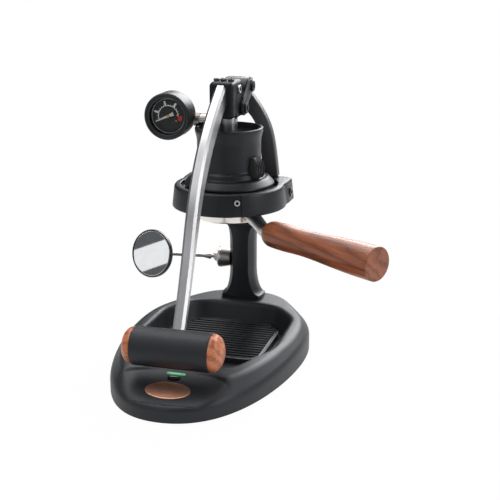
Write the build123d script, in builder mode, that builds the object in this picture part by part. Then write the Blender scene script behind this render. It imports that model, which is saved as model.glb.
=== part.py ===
"""Manual lever espresso maker: base with drip tray, post, group ring, brew chamber, lever and portafilter.

Millimetres, +Z up. The origin lies on the table under the brew axis, and -Y is the front.
"""

import math
import os

from build123d import *

os.makedirs("parts", exist_ok=True)

# Shared clearances
gap = 0.3
running = 0.05
overrun = 2.0

# Base
foot_height = 1.2
base_half_width = 101.0
base_nose_y = -247.0
base_back_y = 90.0
base_wall_top = 15.0
base_top = 34.0
base_top_half_width = 90.0
base_top_nose_y = -228.0
base_top_back_y = 80.0
outline_shares = [
    (0.30, 0.021),
    (0.50, 0.067),
    (0.69, 0.150),
    (0.87, 0.293),
    (0.985, 0.48),
    (1.0, 0.62),
    (0.93, 0.74),
    (0.70, 0.87),
    (0.42, 0.97),
]
recess_floor = 8.0
recess_rear_y = 34.0
recess_front_y = -178.0
recess_half_width = 74.0
recess_rear_half_width = 47.0
recess_front_half_width = 46.0
recess_shoulder_y = -12.0
recess_waist_y = -122.0
recess_corner = 38.0
recess_draft = 16.0

# Control panel on the nose
panel_tilt = 17.5
panel_top_y = -184.0
panel_center_y = -212.0
panel_half_width = 64.0
panel_half_length = 30.0
badge_y = -217.5
badge_length = 47.0
badge_width = 25.0
badge_height = 2.0
badge_seat_depth = 1.0
badge_rim = 1.2
light_y = -192.5
light_length = 20.0
light_width = 3.2
light_height = 2.0
button_y = -199.0
button_length = 11.0
button_width = 5.0
button_height = 5.0
button_proud = 1.2
button_travel = 0.8
board_length = 44.0
board_width = 24.0
board_thickness = 1.6
board_top = 14.0
board_room = 3.0
pillar_radius = 2.6
pillar_inset = 3.2
inlet_radius = 4.0
inlet_pin_radius = 1.0
inlet_depth = 10.0
inlet_z = 13.0
inlet_x = 30.0
floor_plate_thickness = 1.0
floor_plate_inset = 8.0
rubber_foot_radius = 9.0
rubber_foot_places = [(62.0, 20.0), (55.0, -165.0)]

# Drip tray and its slatted grille
tray_rear_y = 24.0
tray_front_y = -96.0
tray_half_width = 60.0
tray_rear_half_width = 40.0
tray_shoulder_y = -4.0
tray_corner = 12.0
tray_wall = 2.0
tray_floor = 1.5
tray_depth = 6.0
grille_thickness = 2.5
grille_rim = 2.4
grille_rib = 1.0
slot_count = 15
slat_width = 2.2
peg_radius = 2.0
peg_x = 30.0
peg_y_shares = (0.12, 0.88)

# Group ring that carries the chamber and the portafilter
ring_bottom = 162.0
ring_height = 25.0
body_radius = 36.5
lip_clearance = 4.0
lug_reach = 5.5
counterbore_step = 8.5
ring_rim_width = 10.5
lip_bore = body_radius + lip_clearance
ring_bore = lip_bore + lug_reach
counterbore_radius = ring_bore + counterbore_step
flange_margin = 3.5
flange_radius = counterbore_radius - flange_margin
ring_radius = counterbore_radius + ring_rim_width
counterbore_depth = 5.0
lip_thickness = 3.5
bayonet_turn = 42.0
lug_half_angle = 20.0
lug_slot_half_angle = 24.0
lug_thickness = 3.0
ear_length = 34.0
ear_center_y = 36.0
ear_inner_x = 40.0
ear_setback = 0.5
ear_outer_x = ring_radius - ear_setback
ear_round = 5.0
side_bolt_radius = 5.5
side_bolt_head = 2.5
side_bolt_socket = 2.2
side_bolt_z = 173.0
side_bolt_y = 33.0
front_screw_radius = 3.6
front_screw_head = 1.2
front_screw_angle = 24.0
front_screw_z = 179.0

# Post between the base and the ring
post_front_y = 44.0
post_step = 5.0
post_inset = 2.0
post_depth = 24.0
post_waist_front = 8.5
post_waist_rear = 14.5
post_top_half_width = 20.0
post_foot_half_width = 25.0
post_top_flare = 16.0
post_foot_flare = 30.0
post_lip = 7.0
post_bolt_radius = 3.0
post_bolt_length = 14.0
post_bolt_spacing = 26.0

# Arch behind the chamber
arch_depth = 11.0
arch_foot_outer = 49.5
arch_foot_inner = 30.0
arch_foot_play = 0.75682
arch_front_y = (flange_radius**2 - arch_foot_inner**2) ** 0.5 + arch_foot_play
arch_mid_outer = 41.5
arch_mid_inner = 26.0
arch_mid_share = 0.281
arch_neck_outer = 25.5
arch_neck_inner = 16.5
arch_neck_share = 0.579
arch_crown_share = 0.693
arch_head_half_width = 13.2
arch_shoulder_share = 0.825
arch_head_rise = 8.0
fulcrum_boss_radius = 9.0

# Lever linkage, seen from the side: fulcrum on the arch, stem pin on the plunger
fulcrum_boss_reach = 11.0
fulcrum_y = arch_front_y - fulcrum_boss_reach
stem_pin_y = 3.0
stem_pin_z = 272.0
fulcrum_rise = 21.0
fulcrum_z = stem_pin_z + fulcrum_rise
fulcrum_pin_radius = 4.0
stem_pin_radius = 3.5
pin_head_radius = 6.0
pin_head_height = 2.5
pin_socket_radius = 2.6
pin_socket_depth = 1.6
link_thickness = 4.2
link_end_radius = 8.0
link_waist_share = 0.72
head_half_width = 13.5
fork_half_gap = 8.2
head_front_y = -32.0
head_fork_y = -15.5
head_rear_y = 9.0
head_cheek_radius = 8.5
head_rise = 32.0
head_web_rise = 16.5
head_bottom = stem_pin_z - head_cheek_radius
head_top = stem_pin_z + head_rise
head_web_bottom = stem_pin_z + head_web_rise
head_round = 6.0
cross_bolt_y = -8.0
cross_bolt_rise = 22.5
cross_bolt_z = stem_pin_z + cross_bolt_rise
cross_bolt_radius = 4.5
cross_bolt_head = 2.4
top_screw_radius = 3.3
top_screw_head = 2.6
top_screw_socket = 1.5
top_screw_pitch = 8.2
top_screw_y = -19.0

# Lever arm and its cross grip
arm_half_width = 6.2
arm_edge = 1.6
arm_front_stations = [(-82.0, 0.8375), (-130.0, 0.5833), (-156.0, 0.325)]
arm_rear_stations = [(-66.0, 0.7875), (-116.0, 0.5417), (-144.0, 0.3083)]
arm_top_drop = 3.0
arm_root_drop = 26.0
arm_top_z = head_top - arm_top_drop
arm_root_z = head_top - arm_root_drop
arm_end_front_y = -193.0
arm_end_rear_y = -181.0
arm_end_z = 61.0
grip_y = -200.0
grip_z = 61.0
grip_radius = 19.8
grip_half_length = 40.5
grip_edge_round = 1.5
grip_cap_length = 12.0
grip_cap_lip = 1.0
grip_rod_radius = 4.0

# Brew chamber
chamber_bottom = 174.0
chamber_bore = 29.0
chamber_radius = 36.0
chamber_rim_radius = 38.3
chamber_rim_height = 4.0
chamber_rim_flare = 9.0
chamber_top = 251.0
chamber_neck_play = 0.4
chamber_neck_radius = ring_bore - chamber_neck_play
flange_bottom = 186.6
flange_height = 2.2
shoulder_radius = 44.0
shoulder_height = 7.0
bead_radius = 39.0
bead_height = 8.0
chamber_floor_thickness = 6.0
water_floor = chamber_bottom + chamber_floor_thickness
water_hole_radius = 1.2
water_hole_rings = [(8.0, 6), (16.0, 12), (23.0, 18)]
gasket_thickness = 2.4
gasket_width = 5.0
screen_thickness = 1.2
plug_angle = 66.0
plug_width = 15.0
plug_depth = 9.0
plug_bottom = 198.0
plug_height = 23.0
plug_ribs = 5
plug_rib_depth = 1.4

# Plunger
piston_bottom = 184.0
piston_height = 16.0
piston_play = 0.4
seal_radius = 1.5
seal_pitch = 7.0
stem_radius = 10.0
stem_drop = 12.0
stem_top = stem_pin_z - stem_drop
eye_half_width = 7.8
eye_radius = 9.0
eye_slot_half = 3.7
eye_slot_play = 1.0

# Pressure gauge
gauge_x = -63.0
gauge_face_y = -31.0
gauge_depth = 27.0
gauge_radius = 26.0
gauge_wall = 3.0
gauge_edge_round = 2.5
bezel_width = 3.4
bezel_depth = 2.0
dial_thickness = 1.0
dial_setback = 7.0
lens_thickness = 1.6
lens_setback = 2.2
needle_length = 17.0
needle_tail = 6.0
needle_width = 1.8
needle_thickness = 0.6
needle_hub_radius = 2.6
needle_hub_height = 1.4
needle_pin_radius = 0.8
needle_angle = 204.0
tube_radius = 4.6
tube_y = -6.0
tube_drop = 2.6
gauge_rise = 6.6
tube_z = stem_top - tube_drop
gauge_z = tube_z + gauge_rise
tube_bore = 1.5
tube_nut_radius = 6.1
tube_nut_length = 9.0

# Portafilter
handle_angle = 57.0
body_bottom = 148.0
body_wall = 3.0
basket_rim_setback = 1.0
basket_play = 2.5
basket_rim_radius = body_radius - basket_rim_setback
basket_radius = body_radius - body_wall - basket_play
basket_wall = 0.8
basket_depth = 21.0
basket_hole_radius = 0.7
basket_hole_rings = [(5.0, 6), (10.0, 12), (15.0, 18), (20.0, 24)]
neck_radius = 8.0
neck_root_depth = 2.5
neck_reach = 27.5
neck_start = body_radius - neck_root_depth
neck_end = body_radius + neck_reach
neck_start_z = 156.0
neck_end_z = 143.0
handle_z = 141.5
handle_overlap = 6.0
handle_length = 164.0
handle_start = neck_end - handle_overlap
handle_end = handle_start + handle_length
handle_station_shares = [0.0, 0.03, 0.14, 0.35, 0.62, 0.90, 0.985]
handle_station_radii = [10.0, 13.0, 14.4, 14.2, 16.4, 19.2, 19.4]
handle_end_radius = 18.2
tang_radius = 4.0
tang_length = 60.0

# Shot mirror on a jointed arm
mirror_mount_radius = 10.0
mirror_mount_length = 15.0
mirror_mount_z = 81.5
mirror_mount_y = 57.0
mirror_mount_bevel = 2.0
ball_radius = 4.2
ball_play = 0.06
socket_wall = 1.6
arm_ball_reach = 5.0
mirror_rod_radius = 2.2
mirror_center = (-102.8, 16.0, 91.0)
mirror_radius = 28.8
mirror_rim_depth = 5.0
mirror_rim_wall = 1.8
mirror_glass_thickness = 2.0
mirror_normal = (-0.28, -0.93, 0.22)
mirror_ball_reach = 9.0


def base_outline(half_width, nose_y, back_y):
    """Closed egg-shaped outline, blunt at the nose and drawn in at the back."""
    length = back_y - nose_y
    right = [(half_width * sx, nose_y + length * sy) for sx, sy in outline_shares]
    left = [(-x, y) for x, y in reversed(right)]
    Spline((0, nose_y), *right, (0, back_y), *left, periodic=True)


def rounded_outline(points, radius):
    """Closed outline through the points of its right half, mirrored and rounded."""
    ring = points + [(-x, y) for x, y in reversed(points)]
    FilletPolyline(*ring, radius=radius, close=True)


recess_points = [
    (recess_rear_half_width, recess_rear_y),
    (recess_half_width, recess_shoulder_y),
    (recess_half_width, recess_waist_y),
    (recess_front_half_width, recess_front_y),
]


def tray_points(inset):
    """Right half of the drip tray's outline, drawn in by an inset."""
    return [
        (tray_rear_half_width - inset, tray_rear_y - inset),
        (tray_half_width - inset, tray_shoulder_y),
        (tray_half_width - inset, tray_front_y + tray_corner),
        (tray_half_width - tray_corner - inset, tray_front_y + inset),
    ]


def panel_plane(y):
    """Plane on the sloping control panel at y, with its local X along X and its normal out of it."""
    tilt = math.radians(panel_tilt)
    z = base_top - (panel_top_y - y) * math.tan(tilt)
    return Plane(origin=(0, y, z), x_dir=(1, 0, 0), z_dir=(0, -math.sin(tilt), math.cos(tilt)))


def polar(radius, angle, z=0):
    """Point at an angle counted from the front (-Y) towards +X."""
    turn = math.radians(angle)
    return (radius * math.sin(turn), -radius * math.cos(turn), z)


def save(piece, label):
    """Label a finished piece and write its file."""
    piece.part.label = label
    export_step(piece.part, f"parts/{label}.step")


post_bolt_spots = [(side * post_bolt_spacing / 2, post_front_y + post_depth / 2) for side in (-1, 1)]

# Base shell with the drip recess, the panel seats and the board's room
badge_plane = panel_plane(badge_y)
light_plane = panel_plane(light_y)
button_plane = panel_plane(button_y)
dish_plane = panel_plane(panel_center_y)
shell_bottom = foot_height + floor_plate_thickness
inlet_plane = Plane(origin=(inlet_x, base_back_y, inlet_z), x_dir=(1, 0, 0), z_dir=(0, 1, 0))

with BuildPart() as base_shell:
    for level in (shell_bottom, base_wall_top):
        with BuildSketch(Plane.XY.offset(level)):
            with BuildLine():
                base_outline(base_half_width, base_nose_y, base_back_y)
            make_face()
    with BuildSketch(Plane.XY.offset(base_top)):
        with BuildLine():
            base_outline(base_top_half_width, base_top_nose_y, base_top_back_y)
        make_face()
    loft(ruled=True)
    with BuildSketch(Plane.XY.offset(base_top)):
        with BuildLine():
            rounded_outline(recess_points, recess_corner)
        make_face()
    extrude(amount=-(base_top - recess_floor), taper=recess_draft, mode=Mode.SUBTRACT)
    with BuildSketch(dish_plane):
        Ellipse(panel_half_width, panel_half_length)
    extrude(amount=base_top, mode=Mode.SUBTRACT)
    with BuildSketch(badge_plane):
        Ellipse(badge_length / 2 + gap, badge_width / 2 + gap)
    extrude(amount=-badge_seat_depth, mode=Mode.SUBTRACT)
    with BuildSketch(light_plane):
        SlotOverall(light_length + 2 * gap, light_width + 2 * gap)
    extrude(amount=-light_height, mode=Mode.SUBTRACT)
    with BuildSketch(Plane.XY.offset(shell_bottom)):
        with Locations((0, button_y)):
            Rectangle(board_length + 2 * board_room, board_width + 2 * board_room)
    extrude(amount=board_top + board_room - shell_bottom, mode=Mode.SUBTRACT)
    with BuildSketch(button_plane):
        SlotOverall(button_length + 2 * gap, button_width + 2 * gap)
    extrude(amount=-(button_plane.origin.Z - board_top), mode=Mode.SUBTRACT)
    with BuildSketch(Plane.XY.offset(shell_bottom)):
        with Locations(*post_bolt_spots):
            Circle(post_bolt_radius + running)
    extrude(amount=base_top - shell_bottom, mode=Mode.SUBTRACT)
    with BuildSketch(inlet_plane):
        Circle(inlet_radius + 2 * gap)
    extrude(amount=-(inlet_depth + base_back_y - base_top_back_y), mode=Mode.SUBTRACT)
save(base_shell, "base_shell")

with BuildPart() as floor_plate:
    with BuildSketch(Plane.XY.offset(foot_height)):
        with BuildLine():
            base_outline(
                base_half_width - floor_plate_inset,
                base_nose_y + floor_plate_inset,
                base_back_y - floor_plate_inset,
            )
        make_face()
    extrude(amount=floor_plate_thickness)
    with BuildSketch(Plane.XY.offset(foot_height)):
        with Locations(*post_bolt_spots):
            Circle(post_bolt_radius + running)
    extrude(amount=floor_plate_thickness, mode=Mode.SUBTRACT)
save(floor_plate, "floor_plate")

foot_spots = [(sx * x, y) for x, y in rubber_foot_places for sx in (-1, 1)]
with BuildPart() as rubber_feet:
    with BuildSketch(Plane.XY):
        with Locations(*foot_spots):
            Circle(rubber_foot_radius)
    extrude(amount=foot_height)
    chamfer(rubber_feet.faces().sort_by(Axis.Z)[0:4].edges(), length=foot_height / 4)
save(rubber_feet, "rubber_feet")

with BuildPart() as badge:
    with BuildSketch(badge_plane.offset(-badge_seat_depth)):
        Ellipse(badge_length / 2, badge_width / 2)
    extrude(amount=badge_height)
    with BuildSketch(badge_plane.offset(badge_height - badge_seat_depth)):
        Ellipse(badge_length / 2 - badge_rim, badge_width / 2 - badge_rim)
    extrude(amount=-badge_seat_depth / 2, mode=Mode.SUBTRACT)
save(badge, "front_badge")

with BuildPart() as status_light:
    with BuildSketch(light_plane):
        SlotOverall(light_length, light_width)
    extrude(amount=-light_height)
save(status_light, "status_light")

with BuildPart() as power_button:
    with BuildSketch(button_plane.offset(button_proud)):
        SlotOverall(button_length, button_width)
    extrude(amount=-button_height)
    fillet(power_button.faces().sort_by(Axis.Z)[-1].edges(), radius=button_proud / 2)
save(power_button, "power_button")

board_low = board_top - board_thickness
switch_plane = button_plane.offset(button_proud - button_height - button_travel - gap)
with BuildPart() as control_board:
    with BuildSketch(Plane.XY.offset(board_low)):
        with Locations((0, button_y)):
            Rectangle(board_length, board_width)
    extrude(amount=board_thickness)
    with BuildSketch(Plane.XY.offset(shell_bottom)):
        with Locations((0, button_y)):
            with GridLocations(board_length - 2 * pillar_inset, board_width - 2 * pillar_inset, 2, 2):
                Circle(pillar_radius)
    extrude(amount=board_low - shell_bottom)
    with BuildSketch(switch_plane):
        Rectangle(button_width, button_width - 2 * gap)
    extrude(amount=-(switch_plane.origin.Z - board_low))
save(control_board, "control_board")

with BuildPart() as power_inlet:
    with BuildSketch(inlet_plane.offset(base_top_back_y - base_back_y)):
        Circle(inlet_radius)
    extrude(amount=-inlet_depth)
    with BuildSketch(inlet_plane.offset(base_top_back_y - base_back_y)):
        Circle(inlet_radius - inlet_pin_radius)
        Circle(inlet_pin_radius, mode=Mode.SUBTRACT)
    extrude(amount=-inlet_depth / 2, mode=Mode.SUBTRACT)
save(power_inlet, "power_inlet")

# Drip tray and grille
tray_low = recess_floor + gap
grille_low = tray_low + tray_depth - grille_thickness
with BuildPart() as drip_tray:
    with BuildSketch(Plane.XY.offset(tray_low)):
        with BuildLine():
            rounded_outline(tray_points(0), tray_corner)
        make_face()
    extrude(amount=tray_depth)
    with BuildSketch(Plane.XY.offset(tray_low + tray_floor)):
        with BuildLine():
            rounded_outline(tray_points(tray_wall), tray_corner - tray_wall)
        make_face()
    extrude(amount=tray_depth, mode=Mode.SUBTRACT)
    tray_length = tray_rear_y - tray_front_y
    peg_ys = [tray_front_y + tray_length * share for share in peg_y_shares]
    with BuildSketch(Plane.XY.offset(tray_low)):
        with Locations(*[(sx * peg_x, y) for y in peg_ys for sx in (-1, 1)]):
            Circle(peg_radius)
    extrude(amount=grille_low - tray_low)
save(drip_tray, "drip_tray")

slot_pitch = (tray_length - 2 * tray_wall - 4 * grille_rim) / slot_count
with BuildPart() as drip_grille:
    with BuildSketch(Plane.XY.offset(grille_low)):
        with BuildLine():
            rounded_outline(tray_points(tray_wall + gap), tray_corner - tray_wall)
        make_face()
    extrude(amount=grille_thickness)
    with BuildSketch(Plane.XY.offset(grille_low)):
        with BuildLine():
            rounded_outline(tray_points(tray_wall + gap + grille_rim), tray_corner - tray_wall - grille_rim)
        make_face()
        for index in range(slot_count + 1):
            slat_y = tray_front_y + tray_wall + 2 * grille_rim + index * slot_pitch
            with Locations((0, slat_y)):
                Rectangle(2 * tray_half_width, slat_width, mode=Mode.SUBTRACT)
    extrude(amount=grille_thickness, mode=Mode.SUBTRACT)
    with BuildSketch(Plane.XY.offset(grille_low)):
        with Locations(*[(side * peg_x, (tray_rear_y + tray_front_y) / 2) for side in (-1, 1)]):
            Rectangle(2 * peg_radius, tray_length - 2 * tray_wall - 2 * grille_rim)
    extrude(amount=grille_rib)
save(drip_grille, "drip_grille")

# Post
post_rear_y = post_front_y + post_depth


def post_lines(half_waist, inset):
    """Hourglass outline of the post, flared at the ring and at the base, drawn in by an inset."""
    foot_half = post_foot_half_width - inset
    top_half = post_top_half_width - inset
    foot_z = base_top + post_lip
    top_z = ring_bottom - post_lip
    flare_end = foot_z + post_foot_flare
    waist_end = top_z - post_top_flare
    for side in (-1, 1):
        Line((side * foot_half, base_top), (side * foot_half, foot_z))
        Spline(
            (side * foot_half, foot_z),
            (side * half_waist, flare_end),
            tangents=[(-side, 0), (0, 1)],
        )
        Line((side * half_waist, flare_end), (side * half_waist, waist_end))
        Spline(
            (side * half_waist, waist_end),
            (side * top_half, top_z),
            tangents=[(0, 1), (side, 0)],
        )
        Line((side * top_half, top_z), (side * top_half, ring_bottom))
    Line((-foot_half, base_top), (foot_half, base_top))
    Line((-top_half, ring_bottom), (top_half, ring_bottom))


with BuildPart() as post:
    with BuildSketch(Plane.XZ.offset(-post_rear_y)):
        with BuildLine():
            post_lines(post_waist_rear, 0)
        make_face()
    extrude(amount=post_depth - post_step)
    with BuildSketch(Plane.XZ.offset(-post_front_y - post_step)):
        with BuildLine():
            post_lines(post_waist_front, post_inset)
        make_face()
    extrude(amount=post_step)
    with BuildSketch(Plane.XY.offset(base_top)):
        with Locations(*post_bolt_spots):
            Circle(post_bolt_radius + running)
    extrude(amount=post_bolt_length - gap, mode=Mode.SUBTRACT)
save(post, "post")

bolt_bottom = foot_height
with BuildPart() as post_bolts:
    with BuildSketch(Plane.XY.offset(bolt_bottom)):
        with Locations(*post_bolt_spots):
            Circle(post_bolt_radius)
    extrude(amount=base_top + post_bolt_length - 2 * gap - bolt_bottom)
save(post_bolts, "post_bolts")

# Group ring
ring_top = ring_bottom + ring_height
lip_top = ring_bottom + lip_thickness
lug_angles = (handle_angle + 90, handle_angle - 90)


def sector_lines(radius, center_angle, half_angle):
    """Outline of a pie slice around an angle counted from the front."""
    start = polar(radius, center_angle - half_angle)[:2]
    middle = polar(radius, center_angle)[:2]
    end = polar(radius, center_angle + half_angle)[:2]
    Line((0, 0), start)
    ThreePointArc(start, middle, end)
    Line(end, (0, 0))


with BuildPart() as group_ring:
    with BuildSketch(Plane.XY.offset(ring_bottom)):
        Circle(ring_radius)
        for side in (-1, 1):
            with Locations((side * (ear_inner_x + ear_outer_x) / 2, ear_center_y)):
                RectangleRounded(ear_outer_x - ear_inner_x, ear_length, ear_round)
        Circle(lip_bore, mode=Mode.SUBTRACT)
    extrude(amount=ring_height)
    with BuildSketch(Plane.XY.offset(lip_top)):
        Circle(ring_bore)
    extrude(amount=ring_height, mode=Mode.SUBTRACT)
    with BuildSketch(Plane.XY.offset(ring_top)):
        Circle(counterbore_radius)
    extrude(amount=-counterbore_depth, mode=Mode.SUBTRACT)
    for lug_angle in lug_angles:
        with BuildSketch(Plane.XY.offset(ring_bottom)):
            with BuildLine():
                sector_lines(ring_bore, lug_angle - bayonet_turn, lug_slot_half_angle)
            make_face()
        extrude(amount=lip_thickness, mode=Mode.SUBTRACT)
    for side in (-1, 1):
        with BuildSketch(Plane.YZ.offset(side * ear_outer_x)):
            with Locations((side_bolt_y, side_bolt_z)):
                Circle(side_bolt_radius + gap)
        extrude(amount=-side * side_bolt_head, mode=Mode.SUBTRACT)
save(group_ring, "group_ring")

side_bolt_start = ear_outer_x - side_bolt_head
with BuildPart() as side_bolts:
    for side in (-1, 1):
        with BuildSketch(Plane.YZ.offset(side * side_bolt_start)):
            with Locations((side_bolt_y, side_bolt_z)):
                Circle(side_bolt_radius)
                RegularPolygon(side_bolt_socket, 6, mode=Mode.SUBTRACT)
        extrude(amount=side * (side_bolt_head + side_bolt_head / 2))
save(side_bolts, "side_bolts")

screw_point = polar(ring_radius, front_screw_angle, front_screw_z)
screw_out = polar(1, front_screw_angle)
with BuildPart() as front_screw:
    with BuildSketch(Plane(origin=screw_point, z_dir=screw_out)):
        Circle(front_screw_radius)
        RegularPolygon(front_screw_radius / 2, 6, mode=Mode.SUBTRACT)
    extrude(amount=front_screw_head)
save(front_screw, "front_screw")

# Arch that stands on the ring's ears and carries the fulcrum
arch_head_top = fulcrum_z + arch_head_rise
arch_height = arch_head_top - ring_top
arch_mid_z = ring_top + arch_height * arch_mid_share
arch_neck_z = ring_top + arch_height * arch_neck_share
arch_crown_z = ring_top + arch_height * arch_crown_share
arch_shoulder_z = ring_top + arch_height * arch_shoulder_share


def arch_lines(side):
    """One leg of the arch with its half of the head, on the side of the sign."""
    Line((side * arch_foot_inner, ring_top), (side * arch_foot_outer, ring_top))
    Spline(
        (side * arch_foot_outer, ring_top),
        (side * arch_mid_outer, arch_mid_z),
        (side * arch_neck_outer, arch_neck_z),
        (side * arch_head_half_width, arch_shoulder_z),
    )
    Line((side * arch_head_half_width, arch_shoulder_z), (side * arch_head_half_width, arch_head_top))
    Line((side * arch_head_half_width, arch_head_top), (0, arch_head_top))
    Spline(
        (side * arch_foot_inner, ring_top),
        (side * arch_mid_inner, arch_mid_z),
        (side * arch_neck_inner, arch_neck_z),
        (0, arch_crown_z),
    )


arch_rear_y = arch_front_y + arch_depth
with BuildPart() as arch:
    with BuildSketch(Plane.XZ.offset(-arch_rear_y)):
        with BuildLine():
            for side in (-1, 1):
                arch_lines(side)
        make_face()
    extrude(amount=arch_depth)
    with BuildSketch(Plane.YZ.offset(-arch_head_half_width)):
        with Locations((fulcrum_y, fulcrum_z)):
            Circle(fulcrum_boss_radius)
        with Locations(((fulcrum_y + arch_front_y) / 2 + gap, fulcrum_z)):
            Rectangle(arch_front_y - fulcrum_y + 2 * gap, 2 * fulcrum_boss_radius)
    extrude(amount=2 * arch_head_half_width)
    with BuildSketch(Plane.YZ.offset(-arch_head_half_width)):
        with Locations((fulcrum_y, fulcrum_z)):
            Circle(fulcrum_pin_radius + running)
    extrude(amount=2 * arch_head_half_width, mode=Mode.SUBTRACT)
save(arch, "arch")

# Fulcrum pin, links and the lever head
link_inner = head_half_width + gap
link_outer = link_inner + link_thickness
link_run_y = fulcrum_y - stem_pin_y
link_run_z = fulcrum_z - stem_pin_z
link_length = math.hypot(link_run_y, link_run_z)
link_angle = math.degrees(math.atan2(link_run_z, link_run_y))
link_mid = ((fulcrum_y + stem_pin_y) / 2, (fulcrum_z + stem_pin_z) / 2)


for link_side, link_start in (("right", link_inner), ("left", -link_outer)):
    with BuildPart() as fulcrum_link:
        with BuildSketch(Plane.YZ.offset(link_start)):
            with Locations((fulcrum_y, fulcrum_z), (stem_pin_y, stem_pin_z)):
                Circle(link_end_radius)
            with Locations(Location((*link_mid, 0), (0, 0, link_angle))):
                Rectangle(link_length, 2 * link_end_radius * link_waist_share)
            with Locations((fulcrum_y, fulcrum_z)):
                Circle(fulcrum_pin_radius, mode=Mode.SUBTRACT)
            with Locations((stem_pin_y, stem_pin_z)):
                Circle(stem_pin_radius, mode=Mode.SUBTRACT)
        extrude(amount=link_thickness)
    save(fulcrum_link, f"fulcrum_link_{link_side}")

pin_places = [
    ("fulcrum_pin", (fulcrum_y, fulcrum_z), fulcrum_pin_radius),
    ("stem_pin", (stem_pin_y, stem_pin_z), stem_pin_radius),
]
for pin_name, pin_place, shaft_radius in pin_places:
    with BuildPart() as cross_pin:
        with BuildSketch(Plane.YZ.offset(-link_outer)):
            with Locations(pin_place):
                Circle(shaft_radius)
        extrude(amount=2 * link_outer)
        for side in (-1, 1):
            with BuildSketch(Plane.YZ.offset(side * link_outer)):
                with Locations(pin_place):
                    Circle(pin_head_radius)
            extrude(amount=side * pin_head_height)
            with BuildSketch(Plane.YZ.offset(side * (link_outer + pin_head_height))):
                with Locations(pin_place):
                    RegularPolygon(pin_socket_radius, 6)
            extrude(amount=-side * pin_socket_depth, mode=Mode.SUBTRACT)
    save(cross_pin, pin_name)

with BuildPart() as lever_head:
    with BuildSketch(Plane.YZ.offset(-head_half_width)):
        with BuildLine():
            Polyline(
                (head_front_y, head_bottom),
                (head_fork_y, head_bottom),
                (stem_pin_y - head_cheek_radius, stem_pin_z),
                (stem_pin_y + head_cheek_radius, stem_pin_z),
                (head_rear_y, head_web_bottom),
                (head_rear_y, head_top - head_round),
                (head_rear_y - head_round, head_top),
                (head_front_y + head_round, head_top),
                (head_front_y, head_top - head_round),
                close=True,
            )
        make_face()
        with Locations((stem_pin_y, stem_pin_z)):
            Circle(head_cheek_radius)
    extrude(amount=2 * head_half_width)
    front_edges = lever_head.edges().filter_by(Axis.Z).group_by(Axis.Y)[0]
    fillet(front_edges, radius=head_round)
    with BuildSketch(Plane.YZ.offset(-fork_half_gap)):
        with BuildLine():
            Polyline(
                (head_fork_y, head_bottom - head_cheek_radius),
                (head_fork_y, head_web_bottom),
                (head_rear_y + head_cheek_radius, head_web_bottom),
                (head_rear_y + head_cheek_radius, head_bottom - head_cheek_radius),
                close=True,
            )
        make_face()
    extrude(amount=2 * fork_half_gap, mode=Mode.SUBTRACT)
    with BuildSketch(Plane.YZ.offset(-head_half_width)):
        with Locations((stem_pin_y, stem_pin_z)):
            Circle(stem_pin_radius)
    extrude(amount=2 * head_half_width, mode=Mode.SUBTRACT)
save(lever_head, "lever_head")

with BuildPart() as cross_bolt:
    for side in (-1, 1):
        with BuildSketch(Plane.YZ.offset(side * head_half_width)):
            with Locations((cross_bolt_y, cross_bolt_z)):
                Circle(cross_bolt_radius)
                RegularPolygon(cross_bolt_radius / 2, 6, mode=Mode.SUBTRACT)
        extrude(amount=side * cross_bolt_head)
save(cross_bolt, "cross_bolts")

with BuildPart() as top_screws:
    for index in (-1, 0, 1):
        with BuildSketch(Plane.XY.offset(head_top)):
            with Locations((index * top_screw_pitch, top_screw_y)):
                Circle(top_screw_radius)
                RegularPolygon(top_screw_socket, 6, mode=Mode.SUBTRACT)
        extrude(amount=top_screw_head)
save(top_screws, "top_screws")

# Lever arm: a tapering bar that curves from the head to the grip
with BuildPart() as lever_arm:
    with BuildSketch(Plane.YZ.offset(-arm_half_width)):
        with BuildLine():
            arm_fall = arm_top_z - arm_end_z
            front_points = [(y, arm_end_z + arm_fall * share) for y, share in arm_front_stations]
            rear_points = [(y, arm_end_z + arm_fall * share) for y, share in arm_rear_stations]
            front = [(head_front_y, arm_top_z)] + front_points + [(arm_end_front_y, arm_end_z)]
            rear = [(head_front_y, arm_root_z)] + rear_points + [(arm_end_rear_y, arm_end_z)]
            Spline(*front)
            Spline(*rear)
            Line((head_front_y, arm_top_z), (head_front_y, arm_root_z))
            Line((arm_end_front_y, arm_end_z), (arm_end_rear_y, arm_end_z))
        make_face()
    extrude(amount=2 * arm_half_width)
    side_faces = lever_arm.faces().filter_by(Axis.X)
    long_edges = [edge for edge in side_faces.edges() if edge.length > arm_end_z]
    chamfer(long_edges, length=arm_edge)
    with BuildSketch(Plane.YZ.offset(-arm_half_width)):
        with Locations((grip_y, grip_z)):
            Circle(grip_radius + gap)
    extrude(amount=2 * arm_half_width, mode=Mode.SUBTRACT)
save(lever_arm, "lever_arm")

# Cross grip: a sleeve on a rod, closed by two turned caps
with BuildPart() as grip_sleeve:
    with BuildSketch(Plane.YZ.offset(-grip_half_length)):
        with Locations((grip_y, grip_z)):
            Circle(grip_radius)
            Circle(grip_rod_radius, mode=Mode.SUBTRACT)
    extrude(amount=2 * grip_half_length)
    fillet(grip_sleeve.edges().filter_by(GeomType.CIRCLE).sort_by(SortBy.RADIUS)[-2:], radius=grip_edge_round)
save(grip_sleeve, "grip_sleeve")

with BuildPart() as grip_rod:
    with BuildSketch(Plane.YZ.offset(-grip_half_length - grip_cap_length / 2)):
        with Locations((grip_y, grip_z)):
            Circle(grip_rod_radius)
    extrude(amount=2 * grip_half_length + grip_cap_length)
save(grip_rod, "grip_rod")

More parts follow.
